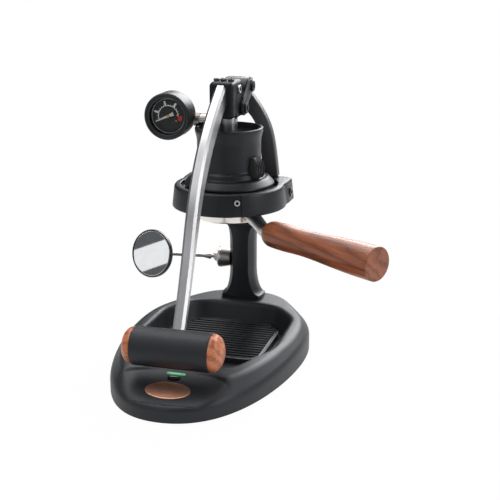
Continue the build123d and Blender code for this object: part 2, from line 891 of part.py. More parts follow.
grip_axis = Axis((0, grip_y, grip_z), (1, 0, 0))
for cap_side, sign in (("left", -1), ("right", 1)):
    with BuildPart() as grip_cap:
        with BuildSketch(Plane.XY.offset(grip_z)):
            with BuildLine():
                seam_x = sign * grip_half_length
                lip_x = sign * (grip_half_length + grip_cap_lip)
                tip_x = sign * (grip_half_length + grip_cap_length)
                cap_edge_y = grip_y + grip_radius - grip_edge_round / 2
                Line((seam_x, grip_y), (seam_x, cap_edge_y))
                Line((seam_x, cap_edge_y), (lip_x, cap_edge_y))
                Spline((lip_x, cap_edge_y), (tip_x, grip_y), tangents=[(sign, 0), (0, -1)])
                Line((tip_x, grip_y), (seam_x, grip_y))
            make_face()
        revolve(axis=grip_axis)
        with BuildSketch(Plane.YZ.offset(sign * grip_half_length)):
            with Locations((grip_y, grip_z)):
                Circle(grip_rod_radius)
        extrude(amount=sign * grip_cap_length / 2, mode=Mode.SUBTRACT)
    save(grip_cap, f"grip_cap_{cap_side}")

# Brew chamber, turned around the brew axis
flange_top = flange_bottom + flange_height
shoulder_top = flange_top + shoulder_height
bead_top = shoulder_top + bead_height
rim_bottom = chamber_top - chamber_rim_height
with BuildPart() as chamber:
    with BuildSketch(Plane.XZ):
        with BuildLine():
            Polyline(
                (0, chamber_bottom),
                (chamber_neck_radius, chamber_bottom),
                (chamber_neck_radius, flange_bottom),
                (flange_radius, flange_bottom),
                (flange_radius, flange_top),
                (shoulder_radius, shoulder_top),
                (bead_radius, shoulder_top),
                (bead_radius, bead_top - bead_radius + chamber_radius),
                (chamber_radius, bead_top),
                (chamber_radius, rim_bottom - chamber_rim_flare),
                (chamber_rim_radius, rim_bottom),
                (chamber_rim_radius, chamber_top),
                (chamber_bore, chamber_top),
                (chamber_bore, water_floor),
                (0, water_floor),
                close=True,
            )
        make_face()
    revolve(axis=Axis.Z)
    with BuildSketch(Plane.XY.offset(chamber_bottom)):
        for ring_of_holes, hole_count in water_hole_rings:
            with PolarLocations(ring_of_holes, hole_count):
                Circle(water_hole_radius)
    extrude(amount=water_floor - chamber_bottom, mode=Mode.SUBTRACT)
save(chamber, "brew_chamber")

gasket_outer = basket_rim_radius
with BuildPart() as chamber_gasket:
    with BuildSketch(Plane.XY.offset(chamber_bottom)):
        Circle(gasket_outer)
        Circle(gasket_outer - gasket_width, mode=Mode.SUBTRACT)
    extrude(amount=-gasket_thickness)
save(chamber_gasket, "chamber_gasket")

with BuildPart() as shower_screen:
    with BuildSketch(Plane.XY.offset(chamber_bottom)):
        Circle(gasket_outer - gasket_width - gap)
        for ring_of_holes, hole_count in water_hole_rings:
            with PolarLocations(ring_of_holes, hole_count):
                Circle(water_hole_radius, mode=Mode.SUBTRACT)
    extrude(amount=-screen_thickness)
save(shower_screen, "shower_screen")

# Heater plug on the chamber's right side, ribbed for the fingers
plug_plane = Plane(origin=(0, 0, plug_bottom), x_dir=polar(1, plug_angle + 90), z_dir=(0, 0, 1))
with BuildPart() as heater_plug:
    with BuildSketch(plug_plane):
        with Locations((0, -chamber_radius - plug_depth / 2)):
            Rectangle(plug_width, plug_depth + 2 * overrun)
        for index in range(plug_ribs):
            rib_x = (index - (plug_ribs - 1) / 2) * plug_width / plug_ribs
            with Locations((rib_x, -chamber_radius - plug_depth - overrun)):
                Rectangle(plug_width / plug_ribs / 2, 2 * plug_rib_depth, mode=Mode.SUBTRACT)
        Circle(bead_radius + gap, mode=Mode.SUBTRACT)
    extrude(amount=plug_height)
    with BuildSketch(Plane.XY.offset(plug_bottom)):
        Circle(chamber_radius + gap)
    extrude(amount=plug_height, mode=Mode.SUBTRACT)
save(heater_plug, "heater_plug")

# Plunger: piston, seals and stem with a slotted eye
piston_radius = chamber_bore - piston_play
piston_top = piston_bottom + piston_height
seal_levels = [piston_bottom + piston_height / 2 + side * seal_pitch / 2 for side in (-1, 1)]
with BuildPart() as piston:
    with BuildSketch(Plane.XY.offset(piston_bottom)):
        Circle(piston_radius)
    extrude(amount=piston_height)
    for level in seal_levels:
        with BuildSketch(Plane.XY.offset(level - seal_radius)):
            Circle(piston_radius + overrun)
            Circle(piston_radius - 2 * seal_radius, mode=Mode.SUBTRACT)
        extrude(amount=2 * seal_radius, mode=Mode.SUBTRACT)
save(piston, "piston")

with BuildPart() as piston_seals:
    for level in seal_levels:
        with BuildSketch(Plane.XZ):
            with Locations((piston_radius - seal_radius + piston_play / 2, level)):
                Circle(seal_radius - running)
        revolve(axis=Axis.Z)
save(piston_seals, "piston_seals")

with BuildPart() as plunger_stem:
    with BuildSketch(Plane.XY.offset(piston_top)):
        Circle(stem_radius)
    extrude(amount=stem_top - piston_top)
    with BuildSketch(Plane.YZ.offset(-eye_half_width)):
        with BuildLine():
            FilletPolyline(
                (-eye_slot_half - eye_radius, stem_top - eye_radius),
                (eye_slot_half + eye_radius, stem_top - eye_radius),
                (eye_slot_half + eye_radius, stem_pin_z + eye_radius),
                (-eye_slot_half - eye_radius, stem_pin_z + eye_radius),
                radius=eye_radius - gap,
                close=True,
            )
        make_face()
    extrude(amount=2 * eye_half_width)
    with BuildSketch(Plane.YZ.offset(-eye_half_width)):
        with Locations((0, stem_pin_z)):
            SlotCenterToCenter(2 * eye_slot_half, 2 * (stem_pin_radius + eye_slot_play))
    extrude(amount=2 * eye_half_width, mode=Mode.SUBTRACT)
    with BuildSketch(Plane.YZ.offset(-stem_radius - overrun)):
        with Locations((tube_y, tube_z)):
            Circle(tube_bore)
    extrude(amount=stem_radius, mode=Mode.SUBTRACT)
save(plunger_stem, "plunger_stem")

# Pressure gauge on its tube
case_rear_y = gauge_face_y + gauge_depth
tube_end_x = gauge_x + math.sqrt(gauge_radius**2 - (tube_z - gauge_z) ** 2)
with BuildPart() as gauge_tube:
    with BuildSketch(Plane.YZ.offset(tube_end_x + gap)):
        with Locations((tube_y, tube_z)):
            Circle(tube_radius)
    extrude(amount=-stem_radius - tube_end_x)
    with BuildSketch(Plane.YZ.offset(tube_end_x + gap)):
        with Locations((tube_y, tube_z)):
            RegularPolygon(tube_nut_radius, 6)
    extrude(amount=tube_nut_length)
    with BuildSketch(Plane.XY.offset(tube_z - tube_radius)):
        Circle(stem_radius + running)
    extrude(amount=2 * tube_radius, mode=Mode.SUBTRACT)
    with BuildSketch(Plane.XZ.offset(-case_rear_y)):
        with Locations((gauge_x, gauge_z)):
            Circle(gauge_radius + running)
    extrude(amount=gauge_depth, mode=Mode.SUBTRACT)
save(gauge_tube, "gauge_tube")

gauge_plane = Plane(origin=(gauge_x, gauge_face_y, gauge_z), x_dir=(1, 0, 0), z_dir=(0, -1, 0))
with BuildPart() as gauge_case:
    with BuildSketch(gauge_plane):
        Circle(gauge_radius)
    extrude(amount=-gauge_depth)
    fillet(gauge_case.edges(), radius=gauge_edge_round)
    with BuildSketch(gauge_plane):
        Circle(gauge_radius - gauge_wall)
    extrude(amount=-dial_setback - dial_thickness, mode=Mode.SUBTRACT)
save(gauge_case, "gauge_case")

window_radius = gauge_radius - gauge_wall - gap
dial_plane = gauge_plane.offset(-dial_setback)
with BuildPart() as gauge_dial:
    with BuildSketch(dial_plane):
        Circle(window_radius)
    extrude(amount=-dial_thickness)
    with BuildSketch(dial_plane):
        Circle(needle_pin_radius)
    extrude(amount=2 * needle_hub_height)
save(gauge_dial, "gauge_dial")

lens_plane = gauge_plane.offset(-lens_setback)
with BuildPart() as gauge_lens:
    with BuildSketch(lens_plane):
        Circle(window_radius)
    extrude(amount=-lens_thickness)
save(gauge_lens, "gauge_lens")

with BuildPart() as gauge_bezel:
    with BuildSketch(lens_plane):
        Circle(window_radius)
        Circle(window_radius - bezel_width, mode=Mode.SUBTRACT)
    extrude(amount=bezel_depth)
save(gauge_bezel, "gauge_bezel")

needle_turn = math.radians(needle_angle)
needle_plane = Plane(
    origin=dial_plane.offset(needle_hub_height / 2).origin,
    x_dir=(math.cos(needle_turn), 0, math.sin(needle_turn)),
    z_dir=(0, -1, 0),
)
with BuildPart() as gauge_needle:
    with BuildSketch(needle_plane):
        Circle(needle_hub_radius)
    extrude(amount=needle_hub_height)
    with BuildSketch(needle_plane):
        with BuildLine():
            Polyline(
                (-needle_tail, -needle_width),
                (-needle_tail, needle_width),
                (needle_length, needle_width / 4),
                (needle_length, -needle_width / 4),
                close=True,
            )
        make_face()
    extrude(amount=needle_thickness)
    with BuildSketch(needle_plane):
        Circle(needle_pin_radius + running)
    extrude(amount=needle_hub_height, mode=Mode.SUBTRACT)
save(gauge_needle, "gauge_needle")

# Portafilter: body with bayonet lugs, basket, neck and turned handle
lug_low = lip_top + gap
body_top = chamber_bottom - gasket_thickness - gap
handle_direction = polar(1, handle_angle)
lug_radius = ring_bore - 2 * gap
with BuildPart() as portafilter_body:
    with BuildSketch(Plane.XY.offset(body_bottom)):
        Circle(body_radius)
    extrude(amount=body_top - basket_wall - body_bottom)
    for lug_angle in lug_angles:
        with BuildSketch(Plane.XY.offset(lug_low)):
            with BuildLine():
                sector_lines(lug_radius, lug_angle, lug_half_angle)
            make_face()
        extrude(amount=lug_thickness)
    neck_begin = polar(neck_start, handle_angle, neck_start_z)
    neck_finish = polar(neck_end, handle_angle, neck_end_z)
    neck_run = Vector(*neck_finish) - Vector(*neck_begin)
    with BuildSketch(Plane(origin=neck_begin, z_dir=neck_run)):
        Circle(neck_radius)
    extrude(amount=neck_run.length)
    with BuildSketch(Plane(origin=polar(neck_end, handle_angle, handle_z), z_dir=handle_direction)):
        Circle(tang_radius)
    extrude(amount=tang_length)
    with BuildSketch(Plane.XY.offset(body_bottom - overrun - neck_radius)):
        Circle(body_radius - body_wall)
    extrude(amount=body_top - body_bottom + 2 * overrun + neck_radius, mode=Mode.SUBTRACT)
save(portafilter_body, "portafilter_body")

basket_floor = body_top - basket_depth
with BuildPart() as basket:
    with BuildSketch(Plane.XY.offset(basket_floor)):
        Circle(basket_radius)
    extrude(amount=basket_depth)
    with BuildSketch(Plane.XY.offset(body_top - basket_wall)):
        Circle(basket_rim_radius)
    extrude(amount=basket_wall)
    with BuildSketch(Plane.XY.offset(basket_floor + basket_wall)):
        Circle(basket_radius - basket_wall)
    extrude(amount=basket_depth, mode=Mode.SUBTRACT)
    with BuildSketch(Plane.XY.offset(basket_floor)):
        for ring_of_holes, hole_count in basket_hole_rings:
            with PolarLocations(ring_of_holes, hole_count):
                Circle(basket_hole_radius)
    extrude(amount=basket_wall, mode=Mode.SUBTRACT)
save(basket, "filter_basket")

handle_plane = Plane(origin=polar(handle_start, handle_angle, handle_z), x_dir=handle_direction, z_dir=(0, 0, 1))
handle_axis = Axis(polar(handle_start, handle_angle, handle_z), handle_direction)
with BuildPart() as handle:
    with BuildSketch(handle_plane):
        with BuildLine():
            station_pairs = zip(handle_station_shares, handle_station_radii)
            stations = [(handle_length * share, radius) for share, radius in station_pairs]
            Spline(*stations)
            Line(stations[-1], (handle_length, handle_end_radius))
            Line((handle_length, handle_end_radius), (handle_length, 0))
            Line((handle_length, 0), (0, 0))
            Line((0, 0), stations[0])
        make_face()
    revolve(axis=handle_axis)
    with BuildSketch(Plane(origin=polar(handle_start, handle_angle, handle_z), z_dir=handle_direction)):
        Circle(tang_radius)
    extrude(amount=neck_end + tang_length + gap - handle_start, mode=Mode.SUBTRACT)
    with BuildSketch(Plane(origin=neck_begin, z_dir=neck_run)):
        Circle(neck_radius + gap)
    extrude(amount=neck_run.length + gap, mode=Mode.SUBTRACT)
save(handle, "portafilter_handle")

# Shot mirror: mount on the post, jointed rod, framed glass
mount_x = -post_waist_rear
mount_end_x = mount_x - mirror_mount_length
ball_one = (mount_end_x - arm_ball_reach, mirror_mount_y, mirror_mount_z)
normal = Vector(*mirror_normal).normalized()
mirror_back = Vector(*mirror_center) - normal * mirror_rim_depth
ball_two_vector = mirror_back - normal * mirror_ball_reach
ball_two = (ball_two_vector.X, ball_two_vector.Y, ball_two_vector.Z)
with BuildPart() as mirror_mount:
    with BuildSketch(Plane(origin=(mount_x, mirror_mount_y, mirror_mount_z), z_dir=(-1, 0, 0))):
        Circle(mirror_mount_radius)
    extrude(amount=mirror_mount_length)
    chamfer(mirror_mount.faces().sort_by(Axis.X)[0].edges(), length=mirror_mount_bevel)
    with BuildSketch(Plane(origin=(mount_end_x, mirror_mount_y, mirror_mount_z), z_dir=(-1, 0, 0))):
        Circle(ball_radius + socket_wall)
    extrude(amount=arm_ball_reach)
    with Locations(ball_one):
        Sphere(ball_radius + ball_play, mode=Mode.SUBTRACT)
save(mirror_mount, "mirror_mount")

rod_run = Vector(*ball_two) - Vector(*ball_one)
rod_length = rod_run.length
ball_depth = math.sqrt(ball_radius**2 - mirror_rod_radius**2)
rod_plane = Plane(origin=ball_one, x_dir=rod_run, z_dir=rod_run.cross(Vector(0, 0, 1)))
with BuildPart() as mirror_rod:
    with BuildSketch(rod_plane):
        with BuildLine():
            ThreePointArc((-ball_radius, 0), (0, ball_radius), (ball_depth, mirror_rod_radius))
            Line((ball_depth, mirror_rod_radius), (rod_length - ball_depth, mirror_rod_radius))
            ThreePointArc(
                (rod_length - ball_depth, mirror_rod_radius),
                (rod_length, ball_radius),
                (rod_length + ball_radius, 0),
            )
            Line((rod_length + ball_radius, 0), (-ball_radius, 0))
        make_face()
    revolve(axis=Axis(ball_one, rod_run))
save(mirror_rod, "mirror_rod")

mirror_plane = Plane(origin=mirror_center, z_dir=normal)
with BuildPart() as mirror_frame:
    with BuildSketch(mirror_plane):
        Circle(mirror_radius)
    extrude(amount=-mirror_rim_depth)
    with BuildSketch(mirror_plane):
        Circle(mirror_radius - mirror_rim_wall)
    extrude(amount=-mirror_glass_thickness - gap, mode=Mode.SUBTRACT)
    with BuildSketch(mirror_plane.offset(-mirror_rim_depth)):
        Circle(ball_radius + socket_wall)
    extrude(amount=-(mirror_ball_reach - mirror_rod_radius / 2))
    with Locations(ball_two):
        Sphere(ball_radius + ball_play, mode=Mode.SUBTRACT)
save(mirror_frame, "mirror_frame")

with BuildPart() as mirror_glass:
    with BuildSketch(mirror_plane.offset(-gap)):
        Circle(mirror_radius - mirror_rim_wall - gap)
    extrude(amount=-mirror_glass_thickness)
save(mirror_glass, "mirror_glass")
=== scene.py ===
"""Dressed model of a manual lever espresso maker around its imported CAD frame.

Lengths in the classes are millimetres in the CAD frame: +Z up, -Y to the front, origin under the brew axis.
"""

import logging
import math
from dataclasses import dataclass
from enum import Enum
from typing import Callable, Sequence

import bmesh
import bpy
import numpy as np
from mathutils import Matrix


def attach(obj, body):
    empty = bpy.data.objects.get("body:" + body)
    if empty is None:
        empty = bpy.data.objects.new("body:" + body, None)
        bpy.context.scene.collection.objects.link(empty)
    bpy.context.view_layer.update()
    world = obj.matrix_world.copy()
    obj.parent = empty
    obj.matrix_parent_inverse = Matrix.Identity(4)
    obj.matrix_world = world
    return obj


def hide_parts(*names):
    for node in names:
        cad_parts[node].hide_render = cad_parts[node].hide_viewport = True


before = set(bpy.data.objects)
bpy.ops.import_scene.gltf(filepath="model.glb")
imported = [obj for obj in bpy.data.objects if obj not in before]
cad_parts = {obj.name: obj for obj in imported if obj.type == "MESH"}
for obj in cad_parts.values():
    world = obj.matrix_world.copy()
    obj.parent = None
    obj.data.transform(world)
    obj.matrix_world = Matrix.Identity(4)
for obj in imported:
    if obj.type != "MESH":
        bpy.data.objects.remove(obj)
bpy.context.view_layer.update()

log = logging.getLogger("espresso")
MM = 0.001
TAU = 2 * math.pi
QUARTER = 90.0
TINY = 1e-9
WHITE = (1.0, 1.0, 1.0, 1.0)
Array = np.ndarray
Pair = tuple[float, float]
Triple = tuple[float, float, float]
Colour = Triple
Outline = tuple[Pair, ...]
Numbers = tuple[float, ...]
Counts = tuple[int, ...]
Place = Callable[[Array, Array, Array], Array]


# Curves and surfaces


def unit(vector: Sequence[float]) -> Array:
    """The vector divided by its own length."""
    v = np.asarray(vector, float)
    return v / np.linalg.norm(v)


def round_angles(turns: int) -> Array:
    """Even angles once round, from 0."""
    return np.linspace(0, TAU, turns, endpoint=False)


def turn_off(angles: Array, degrees: float) -> Array:
    """How far each angle, in radians, lies from a direction."""
    return np.abs((angles - math.radians(degrees) + math.pi) % TAU - math.pi)


def both_sides(right: Outline) -> Outline:
    """The right half of an outline followed by its mirror image."""
    return right + tuple((-x, y) for x, y in reversed(right))


def natural_spline(points: Sequence[Sequence[float]], count: int) -> Array:
    """Natural cubic spline: each span is a cubic in chord length, with no bend at the two ends.

    Args:
        points: the points it goes through.
        count: how many points are returned, evenly spaced in chord length.

    Returns:
        An array of count points.
    """
    p = np.asarray(points, float)
    h = np.linalg.norm(np.diff(p, axis=0), axis=1)
    t = np.concatenate([[0.0], np.cumsum(h)])
    n = len(p)
    i = np.arange(1, n - 1)
    a = np.zeros((n, n))
    a[i, i - 1], a[i, i], a[i, i + 1] = h[:-1], 2 * (h[:-1] + h[1:]), h[1:]
    a[0, 0] = a[-1, -1] = 1.0
    b = np.zeros_like(p)
    b[1:-1] = 6 * np.diff(np.diff(p, axis=0) / h[:, None], axis=0)
    m = np.linalg.solve(a, b)
    s = np.linspace(0.0, t[-1], count)
    k = np.clip(np.searchsorted(t, s, side="right") - 1, 0, n - 2)
    left, right, span = (s - t[k])[:, None], (t[k + 1] - s)[:, None], h[k][:, None]
    bend = (m[k] * right**3 + m[k + 1] * left**3) / (6 * span)
    return bend + (p[k] / span - m[k] * span / 6) * right + (p[k + 1] / span - m[k + 1] * span / 6) * left


def closed_spline(points: Sequence[Sequence[float]], count: int) -> Array:
    """Closed smooth curve: the middle round of a natural spline that runs three times round the points.

    Args:
        points: the points it goes through.
        count: how many points are returned.

    Returns:
        An array of count points.
    """
    p = np.asarray(points, float)
    rounds = np.vstack([p, p, p, p[:1]])
    return natural_spline(rounds, 3 * count + 1)[count : 2 * count]


def rounded_section(points: Array, cuts: Numbers, fills: Counts, steps: int = 7) -> Array:
    """Polylines whose inner corners become quadratic arcs, P(t) = (1-t)^2 A + 2t(1-t) P + t^2 B.

    Args:
        points: array (..., k, 2) of corners, the same number for each polyline.
        cuts: distance from each of the k corners at which its arc starts; the first and last are unused.
        fills: how many points each of the k-1 straight runs gets.
        steps: points on each arc.

    Returns:
        Array (..., n, 2) of the rounded polylines.
    """
    p = np.asarray(points, float)
    seg = np.diff(p, axis=-2)
    length = np.linalg.norm(seg, axis=-1, keepdims=True)
    d = seg / np.maximum(length, TINY)
    t = np.linspace(0, 1, steps, endpoint=False)[:, None]
    start = p[..., 0, :]
    parts = []
    for i in range(1, p.shape[-2] - 1):
        cut = np.minimum(cuts[i], 0.49 * np.minimum(length[..., i - 1, :], length[..., i, :]))
        a, c, b = p[..., i, :] - d[..., i - 1, :] * cut, p[..., i, :], p[..., i, :] + d[..., i, :] * cut
        run = np.linspace(0, 1, fills[i - 1], endpoint=False)[:, None]
        parts.append(start[..., None, :] + (a - start)[..., None, :] * run)
        first, middle, last = a[..., None, :], c[..., None, :], b[..., None, :]
        parts.append((1 - t) ** 2 * first + 2 * t * (1 - t) * middle + t**2 * last)
        start = b
    run = np.linspace(0, 1, fills[-1] + 1)[:, None]
    parts.append(start[..., None, :] + (p[..., -1, :] - start)[..., None, :] * run)
    return np.concatenate(parts, axis=-2)


def swung(corners: Sequence[tuple[Array | float, Array | float]], turns: int) -> Array:
    """Corners of a section that changes with the angle.

    Args:
        corners: radius and height of each of k corners, each a number or one value for each angle.
        turns: number of angles.

    Returns:
        Array (turns, k, 2).
    """
    full = [[np.broadcast_to(value, turns) for value in corner] for corner in corners]
    return np.array(full, float).transpose(2, 0, 1)


@dataclass(frozen=True)
class Profile:
    """A section by its corners, the cut of each, the points of each straight run and of each arc."""

    corners: Outline
    cuts: Numbers
    fills: Counts
    steps: int = 7

    def line(self) -> Array:
        """The rounded section."""
        return rounded_section(np.array(self.corners, float), self.cuts, self.fills, self.steps)


def rounded_polygon(points: Sequence[Sequence[float]], radius: float, steps: int = 16) -> Array:
    """Closed polygon with each corner cut by a quadratic arc.

    Args:
        points: the corners.
        radius: each arc touches its sides radius / tan(half angle) away from the corner.
        steps: points on each arc.

    Returns:
        Array (n, 2) of the outline.
    """
    p = np.asarray(points, float)
    back, ahead = np.roll(p, 1, 0) - p, np.roll(p, -1, 0) - p
    back /= np.linalg.norm(back, axis=1, keepdims=True)
    ahead /= np.linalg.norm(ahead, axis=1, keepdims=True)
    half = np.arccos(np.clip((back * ahead).sum(1), -1, 1)) / 2
    reach = (radius / np.tan(half))[:, None]
    a, b = p + back * reach, p + ahead * reach
    t = np.linspace(0, 1, steps)[None, :, None]
    arcs = (1 - t) ** 2 * a[:, None] + 2 * t * (1 - t) * p[:, None] + t**2 * b[:, None]
    return arcs.reshape(-1, 2)


def densify(outline: Array, step: float) -> Array:
    """Closed outline resampled at even steps along its length.

    Args:
        outline: its points.
        step: about how far apart the new points are.

    Returns:
        The new points.
    """
    ring = np.vstack([outline, outline[:1]])
    s = np.concatenate([[0.0], np.cumsum(np.linalg.norm(np.diff(ring, axis=0), axis=1))])
    at = np.linspace(0, s[-1], max(8, int(s[-1] / step)), endpoint=False)
    return np.stack([np.interp(at, s, ring[:, 0]), np.interp(at, s, ring[:, 1])], axis=1)


def outward(outline: Array) -> Array:
    """Unit normals of a closed outline, square to the chord between each point's neighbours.

    Args:
        outline: its points, counter-clockwise.

    Returns:
        One normal for each point.
    """
    tangent = np.roll(outline, -1, 0) - np.roll(outline, 1, 0)
    normal = np.stack([tangent[:, 1], -tangent[:, 0]], axis=1)
    return normal / np.maximum(np.linalg.norm(normal, axis=1, keepdims=True), TINY)


def polar_radius(outline: Array, centre: Pair, angles: Array) -> Array:
    """Distance from a centre to a star-shaped outline.

    Args:
        outline: its points.
        centre: the centre.
        angles: the directions.

    Returns:
        The distance at each angle.
    """
    d = densify(outline, 0.4) - np.asarray(centre, float)
    turn = np.arctan2(d[:, 1], d[:, 0]) % TAU
    order = np.argsort(turn)
    return np.interp(angles, turn[order], np.hypot(d[:, 0], d[:, 1])[order], period=TAU)


def half_round(half: float, rise: float, low: float, top: float) -> tuple[Array, Array]:
    """Closed section of a half-round bar: across = -half cos t, up = top - rise (1 - sin t).

    Args:
        half: half its width.
        rise: height of its round part.
        low: level of its underside.
        top: level of its crest.

    Returns:
        Place across and level of each point.
    """
    t = np.linspace(0, math.pi, 9)
    across = np.concatenate([[-half], -half * np.cos(t), [half, -half]])
    up = np.concatenate([[low], top - rise * (1 - np.sin(t)), [low] * 2])
    return across, up


def soft_min(a: Array, b: Array, k: Array) -> Array:
    """Smooth lower envelope of two fields, -k log(exp(-a/k) + exp(-b/k))."""
    low = np.minimum(a, b)
    return low - k * np.log(np.exp(-(a - low) / k) + np.exp(-(b - low) / k))


@dataclass
class Skin:
    """Points and faces of a surface, in millimetres, before it becomes a mesh."""

    points: Array
    faces: list[list[int]]
    along: Array | None = None
    marks: list[int] | None = None

    @staticmethod
    def join(skins: Sequence["Skin"]) -> "Skin":
        """Several surfaces as one, with the faces renumbered.

        Args:
            skins: the surfaces.

        Returns:
            The one surface.
        """
        shift = np.cumsum([0] + [len(s.points) for s in skins[:-1]])
        faces = [[v + int(o) for v in f] for s, o in zip(skins, shift) for f in s.faces]
        marks = [m for s in skins for m in (s.marks or [0] * len(s.faces))]
        return Skin(np.vstack([s.points for s in skins]), faces, None, marks)


def grid_faces(turns: int, rows: int, wrap: bool) -> list[list[int]]:
    """Quads of a grid of points.

    Args:
        turns: number of columns.
        rows: points in each column.
        wrap: whether the last column joins the first.

    Returns:
        Four point numbers for each quad.
    """
    i = np.arange(turns if wrap else turns - 1)[:, None]
    j = np.arange(rows - 1)[None, :]
    k = (i + 1) % turns
    quads = np.stack([i * rows + j, k * rows + j, k * rows + j + 1, i * rows + j + 1], axis=-1)
    return quads.reshape(-1, 4).tolist()


def tube_faces(turns: int, rows: int) -> list[list[int]]:
    """Quads of a grid closed round its columns, with a cap over its first row and one over its last."""
    first = np.arange(turns) * rows
    return grid_faces(turns, rows, True) + [first[::-1].tolist(), (first + rows - 1).tolist()]


def axes_of(axis: Sequence[float]) -> tuple[Array, Array, Array]:
    """Two directions square to an axis, and the axis itself.

    Args:
        axis: any vector along it.

    Returns:
        The three unit vectors, right-handed.
    """
    w = unit(axis)
    helper = np.array([0.0, 0.0, 1.0]) if abs(w[2]) < 0.9 else np.array([1.0, 0.0, 0.0])
    u = unit(np.cross(helper, w))
    return u, np.cross(w, u), w


def turned(section: Array, origin: Sequence[float], axis: Sequence[float], turns: int = 128) -> Skin:
    """Surface of revolution: point = origin + r (cos a U + sin a V) + h W for each (r, h) of the section.

    Args:
        section: array (n, 2) of radius and height, or (turns, n, 2) where it changes with the angle.
        origin: point on the axis where the height is 0.
        axis: direction of W.
        turns: number of steps round the axis.

    Returns:
        The surface; its seam and its poles close when doubles are merged.
    """
    if section.ndim == 3:
        turns = section.shape[0]
    rows = section.shape[-2]
    a = round_angles(turns)[:, None, None]
    u, v, w = axes_of(axis)
    r = np.broadcast_to(section[..., 0], (turns, rows))[..., None]
    h = np.broadcast_to(section[..., 1], (turns, rows))[..., None]
    p = np.asarray(origin, float) + r * (np.cos(a) * u + np.sin(a) * v) + h * w
    return Skin(p.reshape(-1, 3), grid_faces(turns, rows, True))


def polar_solid(section: Array, centre: Pair) -> Skin:
    """Surface whose section changes with the angle about +Z: x = cx + r cos a, y = cy + r sin a, z = h.

    Args:
        section: array (turns, n, 2) of radius and height.
        centre: where the axis stands.

    Returns:
        The surface.
    """
    turns, rows = section.shape[:2]
    a = round_angles(turns)[:, None]
    r, h = section[..., 0], section[..., 1]
    p = np.stack([centre[0] + r * np.cos(a), centre[1] + r * np.sin(a), h], axis=-1)
    return Skin(p.reshape(-1, 3), grid_faces(turns, rows, True))


def slab(outline: Array, low: float, high: float, edge: float, place: Place, steps: int = 5) -> Skin:
    """Outline carried from low to high, with quarter-round edges: inset e(1 - sin a) at depth e(1 - cos a).

    Args:
        outline: closed outline (n, 2), counter-clockwise.
        low: depth of the first face.
        high: depth of the last face.
        edge: radius of the rounded edges.
        place: turns (u, v, depth) arrays into points.
        steps: rows in each rounded edge.

    Returns:
        The closed surface.
    """
    a = np.linspace(0, math.pi / 2, steps)
    inset = np.concatenate([edge * (1 - np.sin(a)), edge * (1 - np.sin(a[::-1]))])
    depth = np.concatenate([low + edge * (1 - np.cos(a)), high - edge * (1 - np.cos(a[::-1]))])
    ring = outline[:, None, :] - outward(outline)[:, None, :] * inset[None, :, None]
    p = place(ring[..., 0], ring[..., 1], np.broadcast_to(depth, ring.shape[:2]))
    return Skin(p.reshape(-1, 3), tube_faces(*ring.shape[:2]))


def on_xz(u: Array, v: Array, w: Array) -> Array:
    """Outline in X and Z, depth along +Y."""
    return np.stack([u, w, v], axis=-1)


def on_yz(u: Array, v: Array, w: Array) -> Array:
    """Outline in Y and Z, depth along +X."""
    return np.stack([w, u, v], axis=-1)


@dataclass(frozen=True)
class Pill:
    """Slot-shaped plate: length, width, lowest and highest level, and the radius of its edges."""

    length: float
    width: float
    low: float
    high: float
    edge: float

    def skin(self, place: Place) -> Skin:
        """The plate: its outline is a circle whose right and left halves are pulled apart.

        Args:
            place: turns (u, v, depth) arrays into points.

        Returns:
            The closed surface.
        """
        count, r = 64, self.width / 2
        turn = round_angles(count) + TAU / count / 2
        apart = np.sign(np.cos(turn)) * (self.length / 2 - r)
        outline = np.stack([apart + r * np.cos(turn), r * np.sin(turn)], axis=1)
        return slab(outline, self.low, self.high, self.edge, place)


@dataclass(frozen=True)
class Screw:
    """Round screw head with a hexagon socket: radius, height, the socket's half width and its depth."""

    radius: float
    height: float
    socket: float
    depth: float

    def head(self, origin: Sequence[float], axis: Sequence[float]) -> Skin:
        """The head: the socket's radius is s / cos((a mod 60) - 30 degrees).

        Args:
            origin: middle of its seat.
            axis: the way it faces.

        Returns:
            The head, with the faces of the socket marked for the painted socket shade.
        """
        turns = 72
        hexagon = self.socket / np.cos(round_angles(turns) % (TAU / 6) - TAU / 12)
        floor = self.height - self.depth
        corners = [
            (0, floor),
            (hexagon, floor),
            (hexagon, self.height),
            (self.radius, self.height),
            (self.radius, 0),
            (0, 0),
        ]
        cuts = (0, 0.05, 0.15, 0.14 * self.radius, 0.1, 0)
        section = rounded_section(swung(corners, turns), cuts, (1,) * 5, 4)
        skin = turned(section, origin, axis)
        row = np.tile(np.arange(section.shape[1] - 1), turns)
        # Socket faces take the second slot, which paints the shade inside the socket.
        skin.marks = (row < 6).astype(int).tolist()
        return skin

    def pair(self, place: Triple) -> list[Skin]:
        """Two heads that face away from each other, on the two sides of the machine."""
        return [self.head((side * place[0], *place[1:]), (side, 0, 0)) for side in (-1, 1)]


